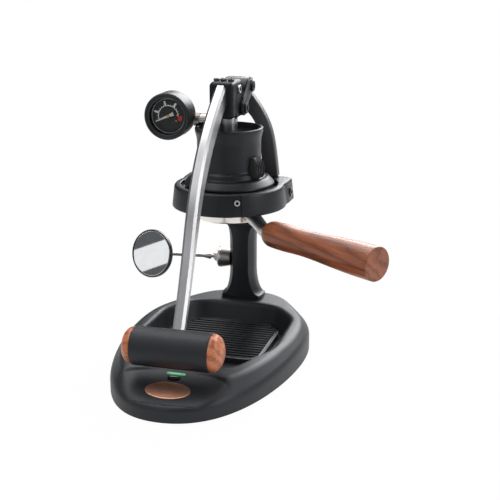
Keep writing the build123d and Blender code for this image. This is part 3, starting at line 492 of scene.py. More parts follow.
def mesh_piece(name: str, skin: Skin, sharp: float = 35.0) -> bpy.types.Object:
    """Turns a surface into a mesh object at the origin, with closed seams and outward faces.

    Args:
        name: object name.
        skin: surface in millimetres.
        sharp: edges that turn by more than this many degrees stay sharp.

    Returns:
        The new object, linked to the scene.
    """
    mesh = bpy.data.meshes.new(name)
    mesh.from_pydata((skin.points * MM).tolist(), [], skin.faces)
    if skin.along is not None:
        layer = mesh.attributes.new("along", "FLOAT_VECTOR", "POINT")
        layer.data.foreach_set("vector", np.ascontiguousarray(skin.along * MM, np.float32).ravel())
    if skin.marks is not None:
        mesh.polygons.foreach_set("material_index", np.array(skin.marks, np.int32))
    work = bmesh.new()
    work.from_mesh(mesh)
    bmesh.ops.remove_doubles(work, verts=work.verts, dist=2e-6)
    bmesh.ops.dissolve_degenerate(work, edges=work.edges, dist=1e-6)
    bmesh.ops.recalc_face_normals(work, faces=work.faces)
    work.to_mesh(mesh)
    work.free()
    mesh.polygons.foreach_set("use_smooth", np.ones(len(mesh.polygons), bool))
    mesh.set_sharp_from_angle(angle=math.radians(sharp))
    piece = bpy.data.objects.new(name, mesh)
    bpy.context.scene.collection.objects.link(piece)
    return piece


def add_to_scene(
    name: str, data: bpy.types.ID, axes: Sequence[Array], place: Sequence[float]
) -> bpy.types.Object:
    """Puts a lamp or a camera in the scene.

    Args:
        name: object name.
        data: its lamp or camera data.
        axes: directions of its own x, y and z.
        place: where it stands, in metres.

    Returns:
        The new object.
    """
    item = bpy.data.objects.new(name, data)
    bpy.context.scene.collection.objects.link(item)
    turn = np.eye(4)
    turn[:3, :3], turn[:3, 3] = np.stack(axes, axis=1), place
    item.matrix_world = Matrix(turn.tolist())
    return item


# Shader maths


class Val:
    """A shader socket that does arithmetic: each operator adds one Math node."""

    def __init__(self, book: "NodeBook", socket: bpy.types.NodeSocket) -> None:
        """Wraps a socket of a book's tree."""
        self.book = book
        self.socket = socket

    def math(self, operation: str, *others: "Val | float", first: "float | None" = None) -> "Val":
        """A Math node on this value and others.

        Args:
            operation: the node's operation.
            others: the values after this one.
            first: a number that comes before this one.

        Returns:
            The result.
        """
        values = [self, *others] if first is None else [first, self, *others]
        node = self.book.node("ShaderNodeMath", {"operation": operation}, dict(enumerate(values)))
        return Val(self.book, node.outputs[0])

    def __add__(self, other: "Val | float") -> "Val":
        """Sum."""
        return self.math("ADD", other)

    def __radd__(self, other: float) -> "Val":
        """Sum with a number first."""
        return self.math("ADD", other)

    def __sub__(self, other: "Val | float") -> "Val":
        """Difference."""
        return self.math("SUBTRACT", other)

    def __rsub__(self, other: float) -> "Val":
        """Number minus this."""
        return self.math("SUBTRACT", first=other)

    def __mul__(self, other: "Val | float") -> "Val":
        """Product."""
        return self.math("MULTIPLY", other)

    def __rmul__(self, other: float) -> "Val":
        """Product with a number first."""
        return self.math("MULTIPLY", other)

    def __truediv__(self, other: "Val | float") -> "Val":
        """Quotient."""
        return self.math("DIVIDE", other)

    def __pow__(self, other: "Val | float") -> "Val":
        """Power."""
        return self.math("POWER", other)

    def __lt__(self, other: "Val | float") -> "Val":
        """1 where this is below the other, else 0."""
        return self.math("LESS_THAN", other)

    def __gt__(self, other: "Val | float") -> "Val":
        """1 where this is above the other, else 0."""
        return self.math("GREATER_THAN", other)

    def between(self, limits: Pair) -> "Val":
        """1 where this lies between two limits, else 0."""
        return (self > limits[0]) * (self < limits[1])

    def ramp(self, low: float, high: float) -> "Val":
        """Smooth step from 0 at low to 1 at high.

        Args:
            low: where it is 0.
            high: where it is 1.

        Returns:
            The step.
        """
        node = self.book.node(
            "ShaderNodeMapRange",
            {"interpolation_type": "SMOOTHSTEP"},
            {"Value": self, "From Min": low, "From Max": high},
        )
        return Val(self.book, node.outputs[0])


class NodeBook:
    """A new material or world, and the one way to add nodes to it."""

    def __init__(self, name: str, world: bool = False) -> None:
        """Starts a material or world with only its surface shader and output.

        Args:
            name: its name.
            world: whether it is a world.
        """
        self.owner = (bpy.data.worlds if world else bpy.data.materials).new(name)
        self.owner.use_nodes = True
        self.tree = self.owner.node_tree
        self.shader = self.tree.nodes["Background" if world else "Principled BSDF"]
        self.output = self.tree.nodes["World Output" if world else "Material Output"]

    def node(self, kind: str, settings: dict | None = None, inputs: dict | None = None) -> bpy.types.Node:
        """Adds a node.

        Args:
            kind: node type.
            settings: attributes set first; "stops" fills a colour ramp.
            inputs: socket name or number to a value, a Val or a socket.

        Returns:
            The node.
        """
        node = self.tree.nodes.new(kind)
        for key, value in (settings or {}).items():
            if key == "stops":
                elements = node.color_ramp.elements
                for index, (at, colour) in enumerate(value):
                    stop = elements[index] if index < 2 else elements.new(at)
                    stop.position, stop.color = at, (*colour, 1.0)
            else:
                setattr(node, key, value)
        for key, value in (inputs or {}).items():
            self.feed(node.inputs[key], value)
        return node

    def feed(self, socket: bpy.types.NodeSocket, value: object) -> None:
        """Links a Val or socket to an input, or sets its number.

        Args:
            socket: the input.
            value: what it gets.
        """
        if isinstance(value, Val):
            self.tree.links.new(value.socket, socket)
        elif isinstance(value, bpy.types.NodeSocket):
            self.tree.links.new(value, socket)
        else:
            socket.default_value = value

    def place(self) -> bpy.types.NodeSocket:
        """Object coordinates, in metres."""
        return self.node("ShaderNodeTexCoord").outputs["Object"]

    def own(self, name: str) -> bpy.types.NodeSocket:
        """The piece's own vector attribute."""
        return self.node("ShaderNodeAttribute", {"attribute_name": name}).outputs["Vector"]

    def parts(self, vector: bpy.types.NodeSocket) -> tuple[Val, Val, Val]:
        """The three numbers of a vector."""
        node = self.node("ShaderNodeSeparateXYZ", None, {0: vector})
        return Val(self, node.outputs[0]), Val(self, node.outputs[1]), Val(self, node.outputs[2])

    def mapped(
        self,
        vector: bpy.types.NodeSocket,
        scale: Triple = (1.0, 1.0, 1.0),
        move: Triple = (0.0, 0.0, 0.0),
        turn: Triple = (0.0, 0.0, 0.0),
    ) -> bpy.types.NodeSocket:
        """The vector scaled, moved and turned, the way a texture is.

        Args:
            vector: the coordinates.
            scale: size of the texture along each axis.
            move: its place.
            turn: its rotation in radians.

        Returns:
            The new coordinates.
        """
        inputs = {"Vector": vector, "Location": move, "Rotation": turn, "Scale": scale}
        return self.node("ShaderNodeMapping", {"vector_type": "TEXTURE"}, inputs).outputs[0]

    def noise(
        self, vector: bpy.types.NodeSocket, scale: float, detail: float = 3.0, rough: float = 0.55
    ) -> Val:
        """Noise from 0 to 1; scale is in features per metre."""
        inputs = {"Vector": vector, "Scale": scale, "Detail": detail, "Roughness": rough}
        return Val(self, self.node("ShaderNodeTexNoise", None, inputs).outputs[0])

    def cells(self, vector: bpy.types.NodeSocket, scale: float, feature: str = "F1") -> Val:
        """Distance to the nearest cell centre or edge."""
        inputs = {"Vector": vector, "Scale": scale}
        return Val(self, self.node("ShaderNodeTexVoronoi", {"feature": feature}, inputs).outputs["Distance"])

    def mix(self, factor: Val, low: object, high: object) -> bpy.types.NodeSocket:
        """Colour that goes from low to high.

        Args:
            factor: 0 to 1.
            low: colour or socket at 0.
            high: colour or socket at 1.

        Returns:
            The mixed colour.
        """
        node = self.node("ShaderNodeMix", {"data_type": "RGBA"}, {0: factor})
        self.feed(node.inputs[6], (*low, 1.0) if isinstance(low, tuple) else low)
        self.feed(node.inputs[7], (*high, 1.0) if isinstance(high, tuple) else high)
        return node.outputs[2]

    def bump(self, height: Val, strength: float, distance: float) -> None:
        """Feeds the shader's normal with a bump.

        Args:
            height: 0 to 1.
            strength: how much of it shows.
            distance: height of 1 in metres.
        """
        inputs = {"Strength": strength, "Distance": distance, "Height": height}
        node = self.node("ShaderNodeBump", None, inputs)
        self.feed(self.shader.inputs["Normal"], node.outputs[0])

    def rays(self, *kinds: str) -> list[Val]:
        """One value for each kind of ray, 1 where such a ray meets the surface."""
        path = self.node("ShaderNodeLightPath")
        return [Val(self, path.outputs[kind]) for kind in kinds]

    def blend(self, factor: object, first: bpy.types.Node, second: bpy.types.Node) -> None:
        """Shows a mix of two shaders on the surface."""
        both = self.node("ShaderNodeMixShader", None, {0: factor, 1: first.outputs[0], 2: second.outputs[0]})
        self.feed(self.output.inputs["Surface"], both.outputs[0])

    def set(self, **values: object) -> None:
        """Sets or links the surface shader's inputs; an underscore in a name is a space.

        Args:
            values: input name to a number, a colour, a Val or a socket.
        """
        for key, value in values.items():
            if isinstance(value, tuple) and len(value) == 3:
                value = (*value, 1.0)
            self.feed(self.shader.inputs[key.replace("_", " ")], value)


# Finishes


@dataclass(frozen=True)
class PowderCoat:
    """Matte coat with a fine pebbled grain and a slight cloudiness."""

    name: str = "powder_coat"
    dark: Colour = (0.0068, 0.0071, 0.0082)
    light: Colour = (0.0120, 0.0125, 0.0142)
    rough: float = 0.38
    grain: float = 1500.0
    gloss: float = 0.45
    tint: Colour = (0.88, 0.93, 1.0)

    def make(self) -> bpy.types.Material:
        """Noise picks the shade and roughness, and a finer noise raises the grain.

        Returns:
            The material.
        """
        book = NodeBook(self.name)
        at = book.place()
        cloud = book.noise(at, 60.0, 4.0)
        grain = book.noise(at, self.grain, 2.0)
        book.set(Base_Color=book.mix(cloud * 0.6 + grain * 0.4, self.dark, self.light))
        book.set(Roughness=self.rough + 0.10 * cloud + 0.01 * grain)
        book.set(Specular_IOR_Level=self.gloss, Specular_Tint=self.tint)
        book.bump(grain, 0.004, 0.00020)
        return book.owner


@dataclass(frozen=True)
class BrushedMetal:
    """Metal with fine lines along the piece's own length."""

    name: str = "brushed_arm"
    dark: Colour = (0.37, 0.37, 0.38)
    light: Colour = (0.53, 0.53, 0.54)
    rough: float = 0.27

    def make(self) -> bpy.types.Material:
        """Noise stretched along the length shades the metal and raises the lines.

        Returns:
            The material.
        """
        book = NodeBook(self.name)
        at = book.mapped(book.own("along"), (0.0012, 0.0012, 0.60))
        line = book.noise(at, 3.0, 5.0, 0.65)
        broad = book.noise(book.place(), 22.0, 2.0)
        book.set(Base_Color=book.mix(line * 0.7 + broad * 0.3, self.dark, self.light))
        book.set(Metallic=1.0, Roughness=self.rough + 0.14 * line, Anisotropic=0.35)
        book.bump(line, 0.04, 0.0001)
        return book.owner


@dataclass(frozen=True)
class BrightMetal:
    """Polished or satin metal with faint smears."""

    name: str
    colour: Colour
    rough: float
    spread: float = 0.06
    dents: float = 0.01

    def make(self) -> bpy.types.Material:
        """Two scales of noise vary the shade and the roughness a little.

        Returns:
            The material.
        """
        book = NodeBook(self.name)
        at = book.place()
        smear = book.noise(at, 90.0, 4.0)
        fine = book.noise(at, 900.0, 2.0)
        deep: Colour = tuple(0.82 * c for c in self.colour)
        book.set(Base_Color=book.mix(smear, deep, self.colour), Metallic=1.0)
        book.set(Roughness=self.rough + self.spread * smear)
        book.bump(fine, self.dents, 0.0001)
        return book.owner


@dataclass(frozen=True)
class Walnut:
    """Oiled walnut with grain along an axis."""

    name: str
    origin: Triple
    turn: Triple
    deep: Colour = (0.036, 0.010, 0.0045)
    middle: Colour = (0.290, 0.078, 0.027)
    pale: Colour = (0.500, 0.165, 0.066)

    def make(self) -> bpy.types.Material:
        """Growth rings are warped sheets along the length; thin dark pores run with them.

        Returns:
            The material.
        """
        book = NodeBook(self.name)
        at = book.mapped(book.place(), move=self.origin, turn=self.turn)
        long = book.mapped(at, (9.0, 1.0, 1.0))
        warp = book.noise(long, 55.0, 3.0)
        x, y, z = book.parts(at)
        sheet = (y * 0.8 + z * 0.6 + x * 0.14) * 560.0 + warp * 17.0
        rings = (sheet.math("SINE") * 0.5 + 0.5) ** 0.5
        streak = book.noise(book.mapped(at, (22.0, 1.0, 1.0)), 420.0, 4.0, 0.7)
        pores = book.noise(book.mapped(at, (16.0, 1.0, 1.0)), 1500.0, 2.0).ramp(0.60, 0.72)
        tone = rings * 0.24 + streak * 0.52 + warp * 0.28
        ramp = book.node(
            "ShaderNodeValToRGB",
            {"stops": [(0.25, self.deep), (0.95, self.pale), (0.58, self.middle)]},
            {0: tone},
        )
        book.set(Base_Color=book.mix(pores * 0.6, ramp.outputs[0], self.deep))
        book.set(Roughness=0.34 + 0.14 * streak, Coat_Weight=0.14, Coat_Roughness=0.20)
        book.bump(streak * 0.5 - pores, 0.12, 0.0002)
        return book.owner


@dataclass(frozen=True)
class GrainedSleeve:
    """Dark sleeve with a fine hide grain."""

    name: str = "grip_hide"
    dark: Colour = (0.006, 0.0064, 0.0075)
    light: Colour = (0.013, 0.0135, 0.0155)

    def make(self) -> bpy.types.Material:
        """Cell edges make the creases, and noise the soft sheen between them.

        Returns:
            The material.
        """
        book = NodeBook(self.name)
        at = book.place()
        crease = book.cells(at, 900.0, "DISTANCE_TO_EDGE").ramp(0.0, 0.22)
        cloud = book.noise(at, 120.0, 4.0)
        book.set(Base_Color=book.mix(cloud * 0.6 + crease * 0.4, self.dark, self.light))
        book.set(Roughness=0.44 + 0.14 * cloud, Specular_Tint=(0.88, 0.93, 1.0))
        book.bump(crease, 0.22, 0.0002)
        return book.owner


@dataclass(frozen=True)
class BrushedCopper:
    """Copper plate brushed across, darker in broad random patches."""

    name: str = "brushed_copper"
    dark: Colour = (0.56, 0.240, 0.152)
    light: Colour = (0.95, 0.52, 0.37)

    def make(self) -> bpy.types.Material:
        """Noise drawn out along X makes the brushing; a broad noise darkens patches.

        Returns:
            The material.
        """
        book = NodeBook(self.name)
        at = book.place()
        line = book.noise(book.mapped(at, (30.0, 1.0, 1.0)), 2600.0, 3.0)
        patch = book.noise(at, 130.0, 4.0)
        book.set(Base_Color=book.mix(line * 0.6 + patch * 0.5, self.dark, self.light), Metallic=1.0)
        book.set(Roughness=0.30 + 0.20 * line)
        book.bump(line, 0.10, 0.0001)
        return book.owner


@dataclass(frozen=True)
class Moulded:
    """Plastic or rubber with a fine moulded texture."""

    name: str
    dark: Colour
    light: Colour
    rough: float
    grain: float = 1200.0

    def make(self) -> bpy.types.Material:
        """Fine noise for the moulded skin and broad noise for its shade.

        Returns:
            The material.
        """
        book = NodeBook(self.name)
        at = book.place()
        fine = book.noise(at, self.grain, 2.0)
        broad = book.noise(at, 70.0, 3.0)
        book.set(Base_Color=book.mix(broad * 0.7 + fine * 0.3, self.dark, self.light))
        book.set(Roughness=self.rough + 0.10 * fine)
        book.bump(fine, 0.10, 0.00015)
        return book.owner


@dataclass(frozen=True)
class LitLens:
    """Diffusing lens lit from behind, brightest in its middle."""

    name: str = "lit_green"
    edge: Colour = (0.05, 0.34, 0.13)
    core: Colour = (0.20, 0.80, 0.36)
    fade: Pair = (0.0105, 0.003)
    strength: float = 0.34

    def make(self) -> bpy.types.Material:
        """Distance from the middle along X fades the glow; noise gives the diffuser's mottling.

        Returns:
            The material.
        """
        book = NodeBook(self.name)
        at = book.place()
        x, _, _ = book.parts(at)
        fade = x.math("ABSOLUTE").ramp(*self.fade)
        mottle = book.noise(at, 900.0, 2.0)
        glow = book.mix(fade * 0.85 + mottle * 0.15, self.edge, self.core)
        book.set(Base_Color=book.mix(mottle, self.edge, self.core), Roughness=0.3)
        book.set(Emission_Color=glow, Emission_Strength=self.strength)
        return book.owner


@dataclass(frozen=True)
class DialPrint:
    """Dark dial with a white scale, a warning block and two amber marks."""

    name: str = "dial_print"
    centre: Pair = (-0.063, 0.264)
    first: float = 205.0
    sweep: float = 205.0
    strokes: Triple = (42.0, 100.0, 148.0)
    stroke_width: float = 62.0
    stroke_reach: Pair = (12.2, 17.0)
    ticks: int = 16
    tick_width: float = 14.0
    tick_reach: Pair = (11.4, 13.0)
    arc_reach: Pair = (11.1, 11.8)
    rim_reach: Pair = (18.7, 19.35)
    block_turn: Pair = (203.0, 226.0)
    block_reach: Pair = (11.4, 16.2)
    dots: Pair = (199.0, 235.0)
    dot_half: float = 4.5
    dot_reach: Pair = (9.6, 11.2)
    face: Colour = (0.006, 0.006, 0.0065)
    ink: Colour = (0.95, 0.95, 0.94)
    line: Colour = (0.55, 0.55, 0.55)
    warn: Colour = (0.70, 0.03, 0.02)
    amber: Colour = (0.80, 0.24, 0.03)

    def make(self) -> bpy.types.Material:
        """Angle and radius on the face choose strokes, arc and blocks by comparing them with their limits.

        Returns:
            The material.
        """
        book = NodeBook(self.name)
        at = book.place()
        x, _, z = book.parts(at)
        u, v = x - self.centre[0], z - self.centre[1]
        radius = (u * u + v * v).math("SQRT") / MM
        behind = math.radians(self.first)
        forward = u * math.cos(behind) + v * math.sin(behind)
        beside = u * math.sin(behind) - v * math.cos(behind)
        angle = beside.math("ARCTAN2", forward) * (180.0 / math.pi)
        angle = angle + (angle < -60.0) * 360.0
        on_scale = (angle > -0.8) * (angle < self.sweep)
        bars = sum((angle - turn).math("ABSOLUTE") * radius < self.stroke_width for turn in self.strokes)
        bars = bars * radius.between(self.stroke_reach)
        fine = angle.math("PINGPONG", self.sweep / (2 * self.ticks)) * radius < self.tick_width
        fine = fine * radius.between(self.tick_reach)
        ink = ((bars + fine + radius.between(self.arc_reach)) > 0.5) * on_scale
        block = angle.between(self.block_turn) * radius.between(self.block_reach)
        dots = sum((angle - turn).math("ABSOLUTE") < self.dot_half for turn in self.dots)
        dots = dots * radius.between(self.dot_reach)
        fleck = book.noise(at, 2500.0, 2.0)
        colour = book.mix(fleck, self.face, tuple(1.6 * c for c in self.face))
        colour = book.mix(radius.between(self.rim_reach), colour, self.line)
        colour = book.mix(ink, colour, self.ink)
        colour = book.mix(block, colour, self.warn)
        colour = book.mix(dots > 0.5, colour, self.amber)
        book.set(Base_Color=colour, Roughness=0.5 + 0.1 * fleck)
        return book.owner


@dataclass(frozen=True)
class ClearPane:
    """Clear pane: see-through with a mirror sheen that grows towards grazing angles."""

    name: str = "clear_pane"

    def make(self) -> bpy.types.Material:
        """Fresnel mixes a clear shader with a glossy one; faint noise roughens the gloss.

        Returns:
            The material.
        """
        book = NodeBook(self.name)
        smear = book.noise(book.place(), 160.0, 3.0)
        gloss = book.node("ShaderNodeBsdfGlossy", None, {"Roughness": 0.03 + 0.03 * smear})
        clear = book.node("ShaderNodeBsdfTransparent", None, {"Color": (0.97, 0.98, 0.98, 1.0)})
        rim = book.node("ShaderNodeFresnel", None, {"IOR": 1.17})
        book.blend(rim.outputs[0], clear, gloss)
        return book.owner


class Coat(Enum):
    """The finishes of the machine, each made once."""

    BLACK = PowderCoat()
    # Base shell: the black powder coat at about twice its shade, a lit copy; the extra lightness is painted
    # light.
    SHELL_LIT = PowderCoat("shell_lit_coat", (0.0150, 0.0157, 0.0178), (0.0230, 0.0240, 0.0268), 0.40, 1500.0, 0.40)
    HEAD = PowderCoat("head_coat", (0.0060, 0.0062, 0.0070), (0.0100, 0.0104, 0.0116), 0.42, 1500.0, 0.22)
    # Arch: a far lighter copy of the black powder coat; the lightness is painted light for its shaded front
    # face.
    ARCH_LIT = PowderCoat("arch_lit_coat", (0.068, 0.069, 0.074), (0.086, 0.087, 0.093), 0.42)
    ARM = BrushedMetal()
    CHROME = BrightMetal("chrome", (0.82, 0.82, 0.83), 0.07)
    WARM_CHROME = BrightMetal("warm_chrome", (0.95, 0.90, 0.85), 0.16, 0.10)
    STEEL = BrightMetal("satin_steel", (0.58, 0.58, 0.59), 0.24, 0.12)
    SATIN = BrightMetal("satin_chrome", (0.64, 0.615, 0.595), 0.30, 0.08)
    NICKEL = BrightMetal("nickel", (0.34, 0.315, 0.29), 0.20, 0.10)
    BLACK_SCREW = BrightMetal("black_screws", (0.035, 0.035, 0.037), 0.30, 0.12)
    # Near-black metal on screw sockets and on the plate round the button: painted shade of those recesses.
    SOCKET_SHADE = BrightMetal("socket_shade", (0.02, 0.02, 0.02), 0.55, 0.12)
    DARK_STEEL = BrightMetal("dark_screws", (0.10, 0.10, 0.105), 0.32, 0.12)
    BRASS = BrightMetal("brass_hub", (0.70, 0.45, 0.18), 0.22)
    MIRROR = BrightMetal("silvered", (0.92, 0.93, 0.94), 0.012, 0.012, 0.001)
    HANDLE_WOOD = Walnut("walnut_handle", (0.0, 0.0, 0.1415), (0.0, 0.0, math.radians(-33.0)))
    # Caps: the walnut's own grain and colours, lightened to about twice the handle's; the extra lightness is
    # painted light on the caps.
    CAP_WOOD_LIT = Walnut(
        "walnut_caps_lit",
        (0.0, -0.2, 0.0625),
        (0.0, 0.0, 0.0),
        (0.095, 0.030, 0.013),
        (0.560, 0.172, 0.068),
        (0.860, 0.350, 0.170),
    )
    HIDE = GrainedSleeve()
    COPPER = BrushedCopper()
    GREEN = LitLens()
    GLOSS_BLACK = Moulded("gloss_black", (0.004, 0.004, 0.004), (0.008, 0.008, 0.008), 0.14)
    GRILLE = PowderCoat("grille_coat", (0.006, 0.006, 0.0065), (0.010, 0.010, 0.0107), 0.26, 1500.0, 0.42)
    PLASTIC = Moulded("black_plastic", (0.014, 0.014, 0.015), (0.026, 0.026, 0.028), 0.45)
    GAUGE = PowderCoat("gauge_black", (0.018, 0.0183, 0.0195), (0.027, 0.0274, 0.0290), 0.40, 900.0)
    RUBBER = Moulded("rubber", (0.012, 0.012, 0.012), (0.024, 0.024, 0.024), 0.70)
    BOARD = Moulded("board_mask", (0.010, 0.075, 0.030), (0.020, 0.120, 0.050), 0.35)
    NEEDLE = Moulded("needle_paint", (0.74, 0.73, 0.70), (0.84, 0.83, 0.80), 0.40)
    DIAL = DialPrint()
    PANE = ClearPane()


class Paintbox:
    """Makes each finish when it is first asked for."""

    def __init__(self) -> None:
        """Starts empty."""
        self.made: dict[Coat, bpy.types.Material] = {}

    def get(self, coat: Coat) -> bpy.types.Material:
        """The material of a finish.

        Args:
            coat: the finish.

        Returns:
            Its material.
        """
        if coat not in self.made:
            self.made[coat] = coat.value.make()
        return self.made[coat]


paints = Paintbox()


def dress(names: Sequence[str], coat: Coat) -> None:
    """Gives CAD nodes a finish.

    Args:
        names: the nodes.
        coat: the finish.
    """
    for name in names:
        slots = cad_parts[name].data.materials
        slots.clear()
        slots.append(paints.get(coat))


def add_piece(
    name: str,
    skin: Skin,
    coat: Coat,
    body: str,
    stands_for: Sequence[str] = (),
    sharp: float = 35.0,
) -> bpy.types.Object:
    """Makes a piece, dresses it and lets it ride on a body.

    Args:
        name: piece name.
        skin: its surface.
        coat: its finish.
        body: CAD body that carries it.
        stands_for: CAD nodes that it replaces.
        sharp: angle in degrees above which an edge stays sharp.

    Returns:
        The piece.
    """
    piece = mesh_piece(name, skin, sharp)
    piece.data.materials.append(paints.get(coat))
    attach(piece, body)
    if stands_for:
        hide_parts(*stands_for)
    log.info("%s: %d faces", name, len(piece.data.polygons))
    return piece


def add_screws(
    name: str, skins: Sequence[Skin], coat: Coat, body: str, stands_for: Sequence[str]
) -> bpy.types.Object:
    """Makes a piece of socket screws whose sockets get a painted shade.

    Args:
        name: piece name.
        skins: its screws.
        coat: their finish.
        body: CAD body that carries them.
        stands_for: CAD nodes that it replaces.

    Returns:
        The piece.
    """
    piece = add_piece(name, Skin.join(skins), coat, body, stands_for)
    # The second slot paints shade into the screws' sockets.
    piece.data.materials.append(paints.get(Coat.SOCKET_SHADE))
    return piece


# Sub-assemblies


@dataclass
class Base:
    """Egg-shaped base with its bowl, control panel, badge, light, button and grille."""

    turns: int = 960
    centre: Pair = (0.0, -75.0)
    half_width: float = 101.0
    nose_y: float = -247.0
    back_y: float = 90.0
    top_half_width: float = 90.0
    top_nose_y: float = -228.0
    top_back_y: float = 80.0
    front_shares: Outline = ((0.30, 0.021), (0.50, 0.067), (0.69, 0.150), (0.87, 0.293), (0.985, 0.48))
    rear_shares: Outline = ((1.0, 0.62), (0.93, 0.74), (0.70, 0.87), (0.42, 0.97))
    bottom: float = 2.2
    wall_top: float = 18.0
    wall_rise: float = 4.5
    rise_y: float = -200.0
    rise_length: float = 150.0
    top: float = 34.0
    shell_cuts: Numbers = (0, 0.8, 5.5, 5.0, 5.0, 6.0, 0)
    shell_fills: Counts = (2, 4, 34, 16, 8, 4)
    bowl_right: Outline = ((46.0, 34.0), (76.5, -6.0), (78.5, -100.0), (46.0, -178.0))
    bowl_corner: float = 44.0
    bowl_floor: float = 8.0
    bowl_inset: float = 7.4
    panel_tilt: float = 16.2
    panel_top_y: float = -184.0
    dish_y: float = -212.0
    dish_half: Pair = (64.0, 26.0)
    dish_bank: float = 30.0
    press_y: float = -165.0
    press_share: float = 0.6
    crest_reach: Pair = (222.0, 236.0)
    crest_softness: Pair = (2.0, 4.0)
    badge_y: float = -218.5
    badge_half: Pair = (23.5, 12.5)
    badge_section: Profile = Profile(
        ((0, -1.0), (1.0, -1.0), (1.0, 0.75), (0.95, 0.9), (0.5, 1.0), (0, 1.05)),
        (0, 0.01, 0.02, 0.02, 0.2, 0),
        (1, 2, 2, 6, 6),
        6,
    )
    light_y: float = -192.5
    light: Pill = Pill(20.0, 3.2, -1.5, 0.45, 0.4)
    button_y: float = -199.0
    # Thin dark plate round the button that paints the shade of its recess.
    button_shade_plate: Pill = Pill(14.0, 7.4, -1.0, 0.12, 0.1)
    button: Pill = Pill(11.0, 5.0, -3.8, 1.2, 0.7)
    tray_right: Outline = ((43.0, 24.0), (60.0, 0.0), (60.0, -85.0), (49.0, -96.0))
    tray_corner: float = 17.0
    tray_step: float = 1.2
    grille_top: float = 14.5
    grille_low: float = 11.8
    bead_inset: float = 3.3
    bead_half: float = 1.0
    bead_rise: float = 0.9
    slats: int = 16
    slat_span: Pair = (-89.2, 17.2)
    slat_half: float = 1.3
    slat_rise: float = 1.0
    slat_drop: float = 0.3

    def outline(self, half_width: float, nose_y: float, back_y: float) -> Array:
        """Closed egg outline through named shares of its half width and length.

        Args:
            half_width: its largest x.
            nose_y: its front end.
            back_y: its rear end.

        Returns:
            The outline's points.
        """
        shares = np.array(self.front_shares + self.rear_shares)
        right = shares * (half_width, back_y - nose_y) + (0.0, nose_y)
        left = right[::-1] * (-1, 1)
        return closed_spline(np.vstack([[(0.0, nose_y)], right, [(0.0, back_y)], left]), 900)

    def panel_z(self, y: Array | float) -> Array | float:
        """Height of the sloping panel's plane at y."""
        return self.top - (self.panel_top_y - y) * math.tan(math.radians(self.panel_tilt))

    def on_panel(self, y: float) -> Place:
        """Placing function for an outline that lies on the panel.

        Args:
            y: where on the panel its middle lies.

        Returns:
            The function.
        """
        tilt = math.radians(self.panel_tilt)
        origin = np.array([0.0, y, self.panel_z(y)])
        up = np.array([0.0, math.cos(tilt), math.sin(tilt)])
        out = np.array([0.0, -math.sin(tilt), math.cos(tilt)])

        def place(u: Array, v: Array, w: Array) -> Array:
            """Point = origin + u X + v up-slope + w normal."""
            return origin + u[..., None] * (1.0, 0.0, 0.0) + v[..., None] * up + w[..., None] * out

        return place

    def shell(self) -> Skin:
        """Section of wall, shoulder, deck and bowl swung round the base, with the dish pressed into the nose.

        Returns:
            The closed surface.
        """
        a = round_angles(self.turns)
        outer = polar_radius(self.outline(self.half_width, self.nose_y, self.back_y), self.centre, a)
        deck = self.outline(self.top_half_width, self.top_nose_y, self.top_back_y)
        upper = polar_radius(deck, self.centre, a)
        bowl = polar_radius(rounded_polygon(both_sides(self.bowl_right), self.bowl_corner), self.centre, a)
        wall_y = self.centre[1] + outer * np.sin(a)
        share = np.clip((wall_y - self.rise_y) / self.rise_length, 0.0, 1.0)
        crease = self.wall_top + self.wall_rise * share**2 * (3 - 2 * share)
        corners = [
            (0.0, self.bottom),
            (outer, self.bottom),
            (outer, crease),
            (upper, self.top),
            (bowl, self.top),
            (bowl - self.bowl_inset, self.bowl_floor),
            (0.0, self.bowl_floor),
        ]
        section = rounded_section(swung(corners, self.turns), self.shell_cuts, self.shell_fills, 9)
        skin = polar_solid(section, self.centre)
        x, y, z = skin.points.T
        reach = np.hypot(x / self.dish_half[0], (y - self.dish_y) / self.dish_half[1])
        allowed = self.panel_z(y) + np.maximum(reach - 1.0, 0.0) * self.dish_bank
        pressed = soft_min(z, allowed, np.interp(-y, self.crest_reach, self.crest_softness))
        on_top = (z > self.press_share * self.wall_top) & (y < self.press_y)
        skin.points[:, 2] = np.where(on_top, pressed, z)
        return skin

    def badge(self) -> Skin:
        """Oval medallion: an ellipse scaled by the section's share, raised by its height, slightly domed.

        Returns:
            The medallion on the panel.
        """
        share, height = self.badge_section.line().T
        a = round_angles(128)[:, None]
        u = self.badge_half[0] * share * np.cos(a)
        v = self.badge_half[1] * share * np.sin(a)
        p = self.on_panel(self.badge_y)(u, v, np.broadcast_to(height, u.shape))
        return Skin(p.reshape(-1, 3), grid_faces(*u.shape, True))

    def grille(self) -> Skin:
        """Bead round the tray's outline and half-round slats across it, each cut to the outline's width.

        Returns:
            The frame and the slats as one surface.
        """
        low, top = self.grille_low, self.grille_top
        line = densify(rounded_polygon(both_sides(self.tray_right), self.tray_corner)[::-1], self.tray_step)
        across, height = half_round(self.bead_half, self.bead_rise, low, top)
        ring = line[:, None, :] - outward(line)[:, None, :] * (self.bead_inset + across)[None, :, None]
        p = np.concatenate([ring, np.broadcast_to(height, ring.shape[:2])[..., None]], axis=-1)
        bead = Skin(p.reshape(-1, 3), grid_faces(*ring.shape[:2], True))
        side = line[line[:, 0] > 0]
        side = side[np.argsort(side[:, 1])]
        y = np.linspace(*self.slat_span, self.slats)
        half = np.interp(y, side[:, 1], side[:, 0]) - self.bead_inset
        across, height = half_round(self.slat_half, self.slat_rise, low, top - self.slat_drop)
        shape = (self.slats, 2, len(across))
        px = np.broadcast_to(half[:, None, None] * np.array([-1.0, 1.0])[None, :, None], shape)
        py = np.broadcast_to(y[:, None, None] + across[None, None, :], shape)
        bars = np.stack([px, py, np.broadcast_to(height, shape)], axis=-1).reshape(self.slats, -1, 3)
        quads = grid_faces(2, len(across), False)
        return Skin.join([bead] + [Skin(bar, quads) for bar in bars])

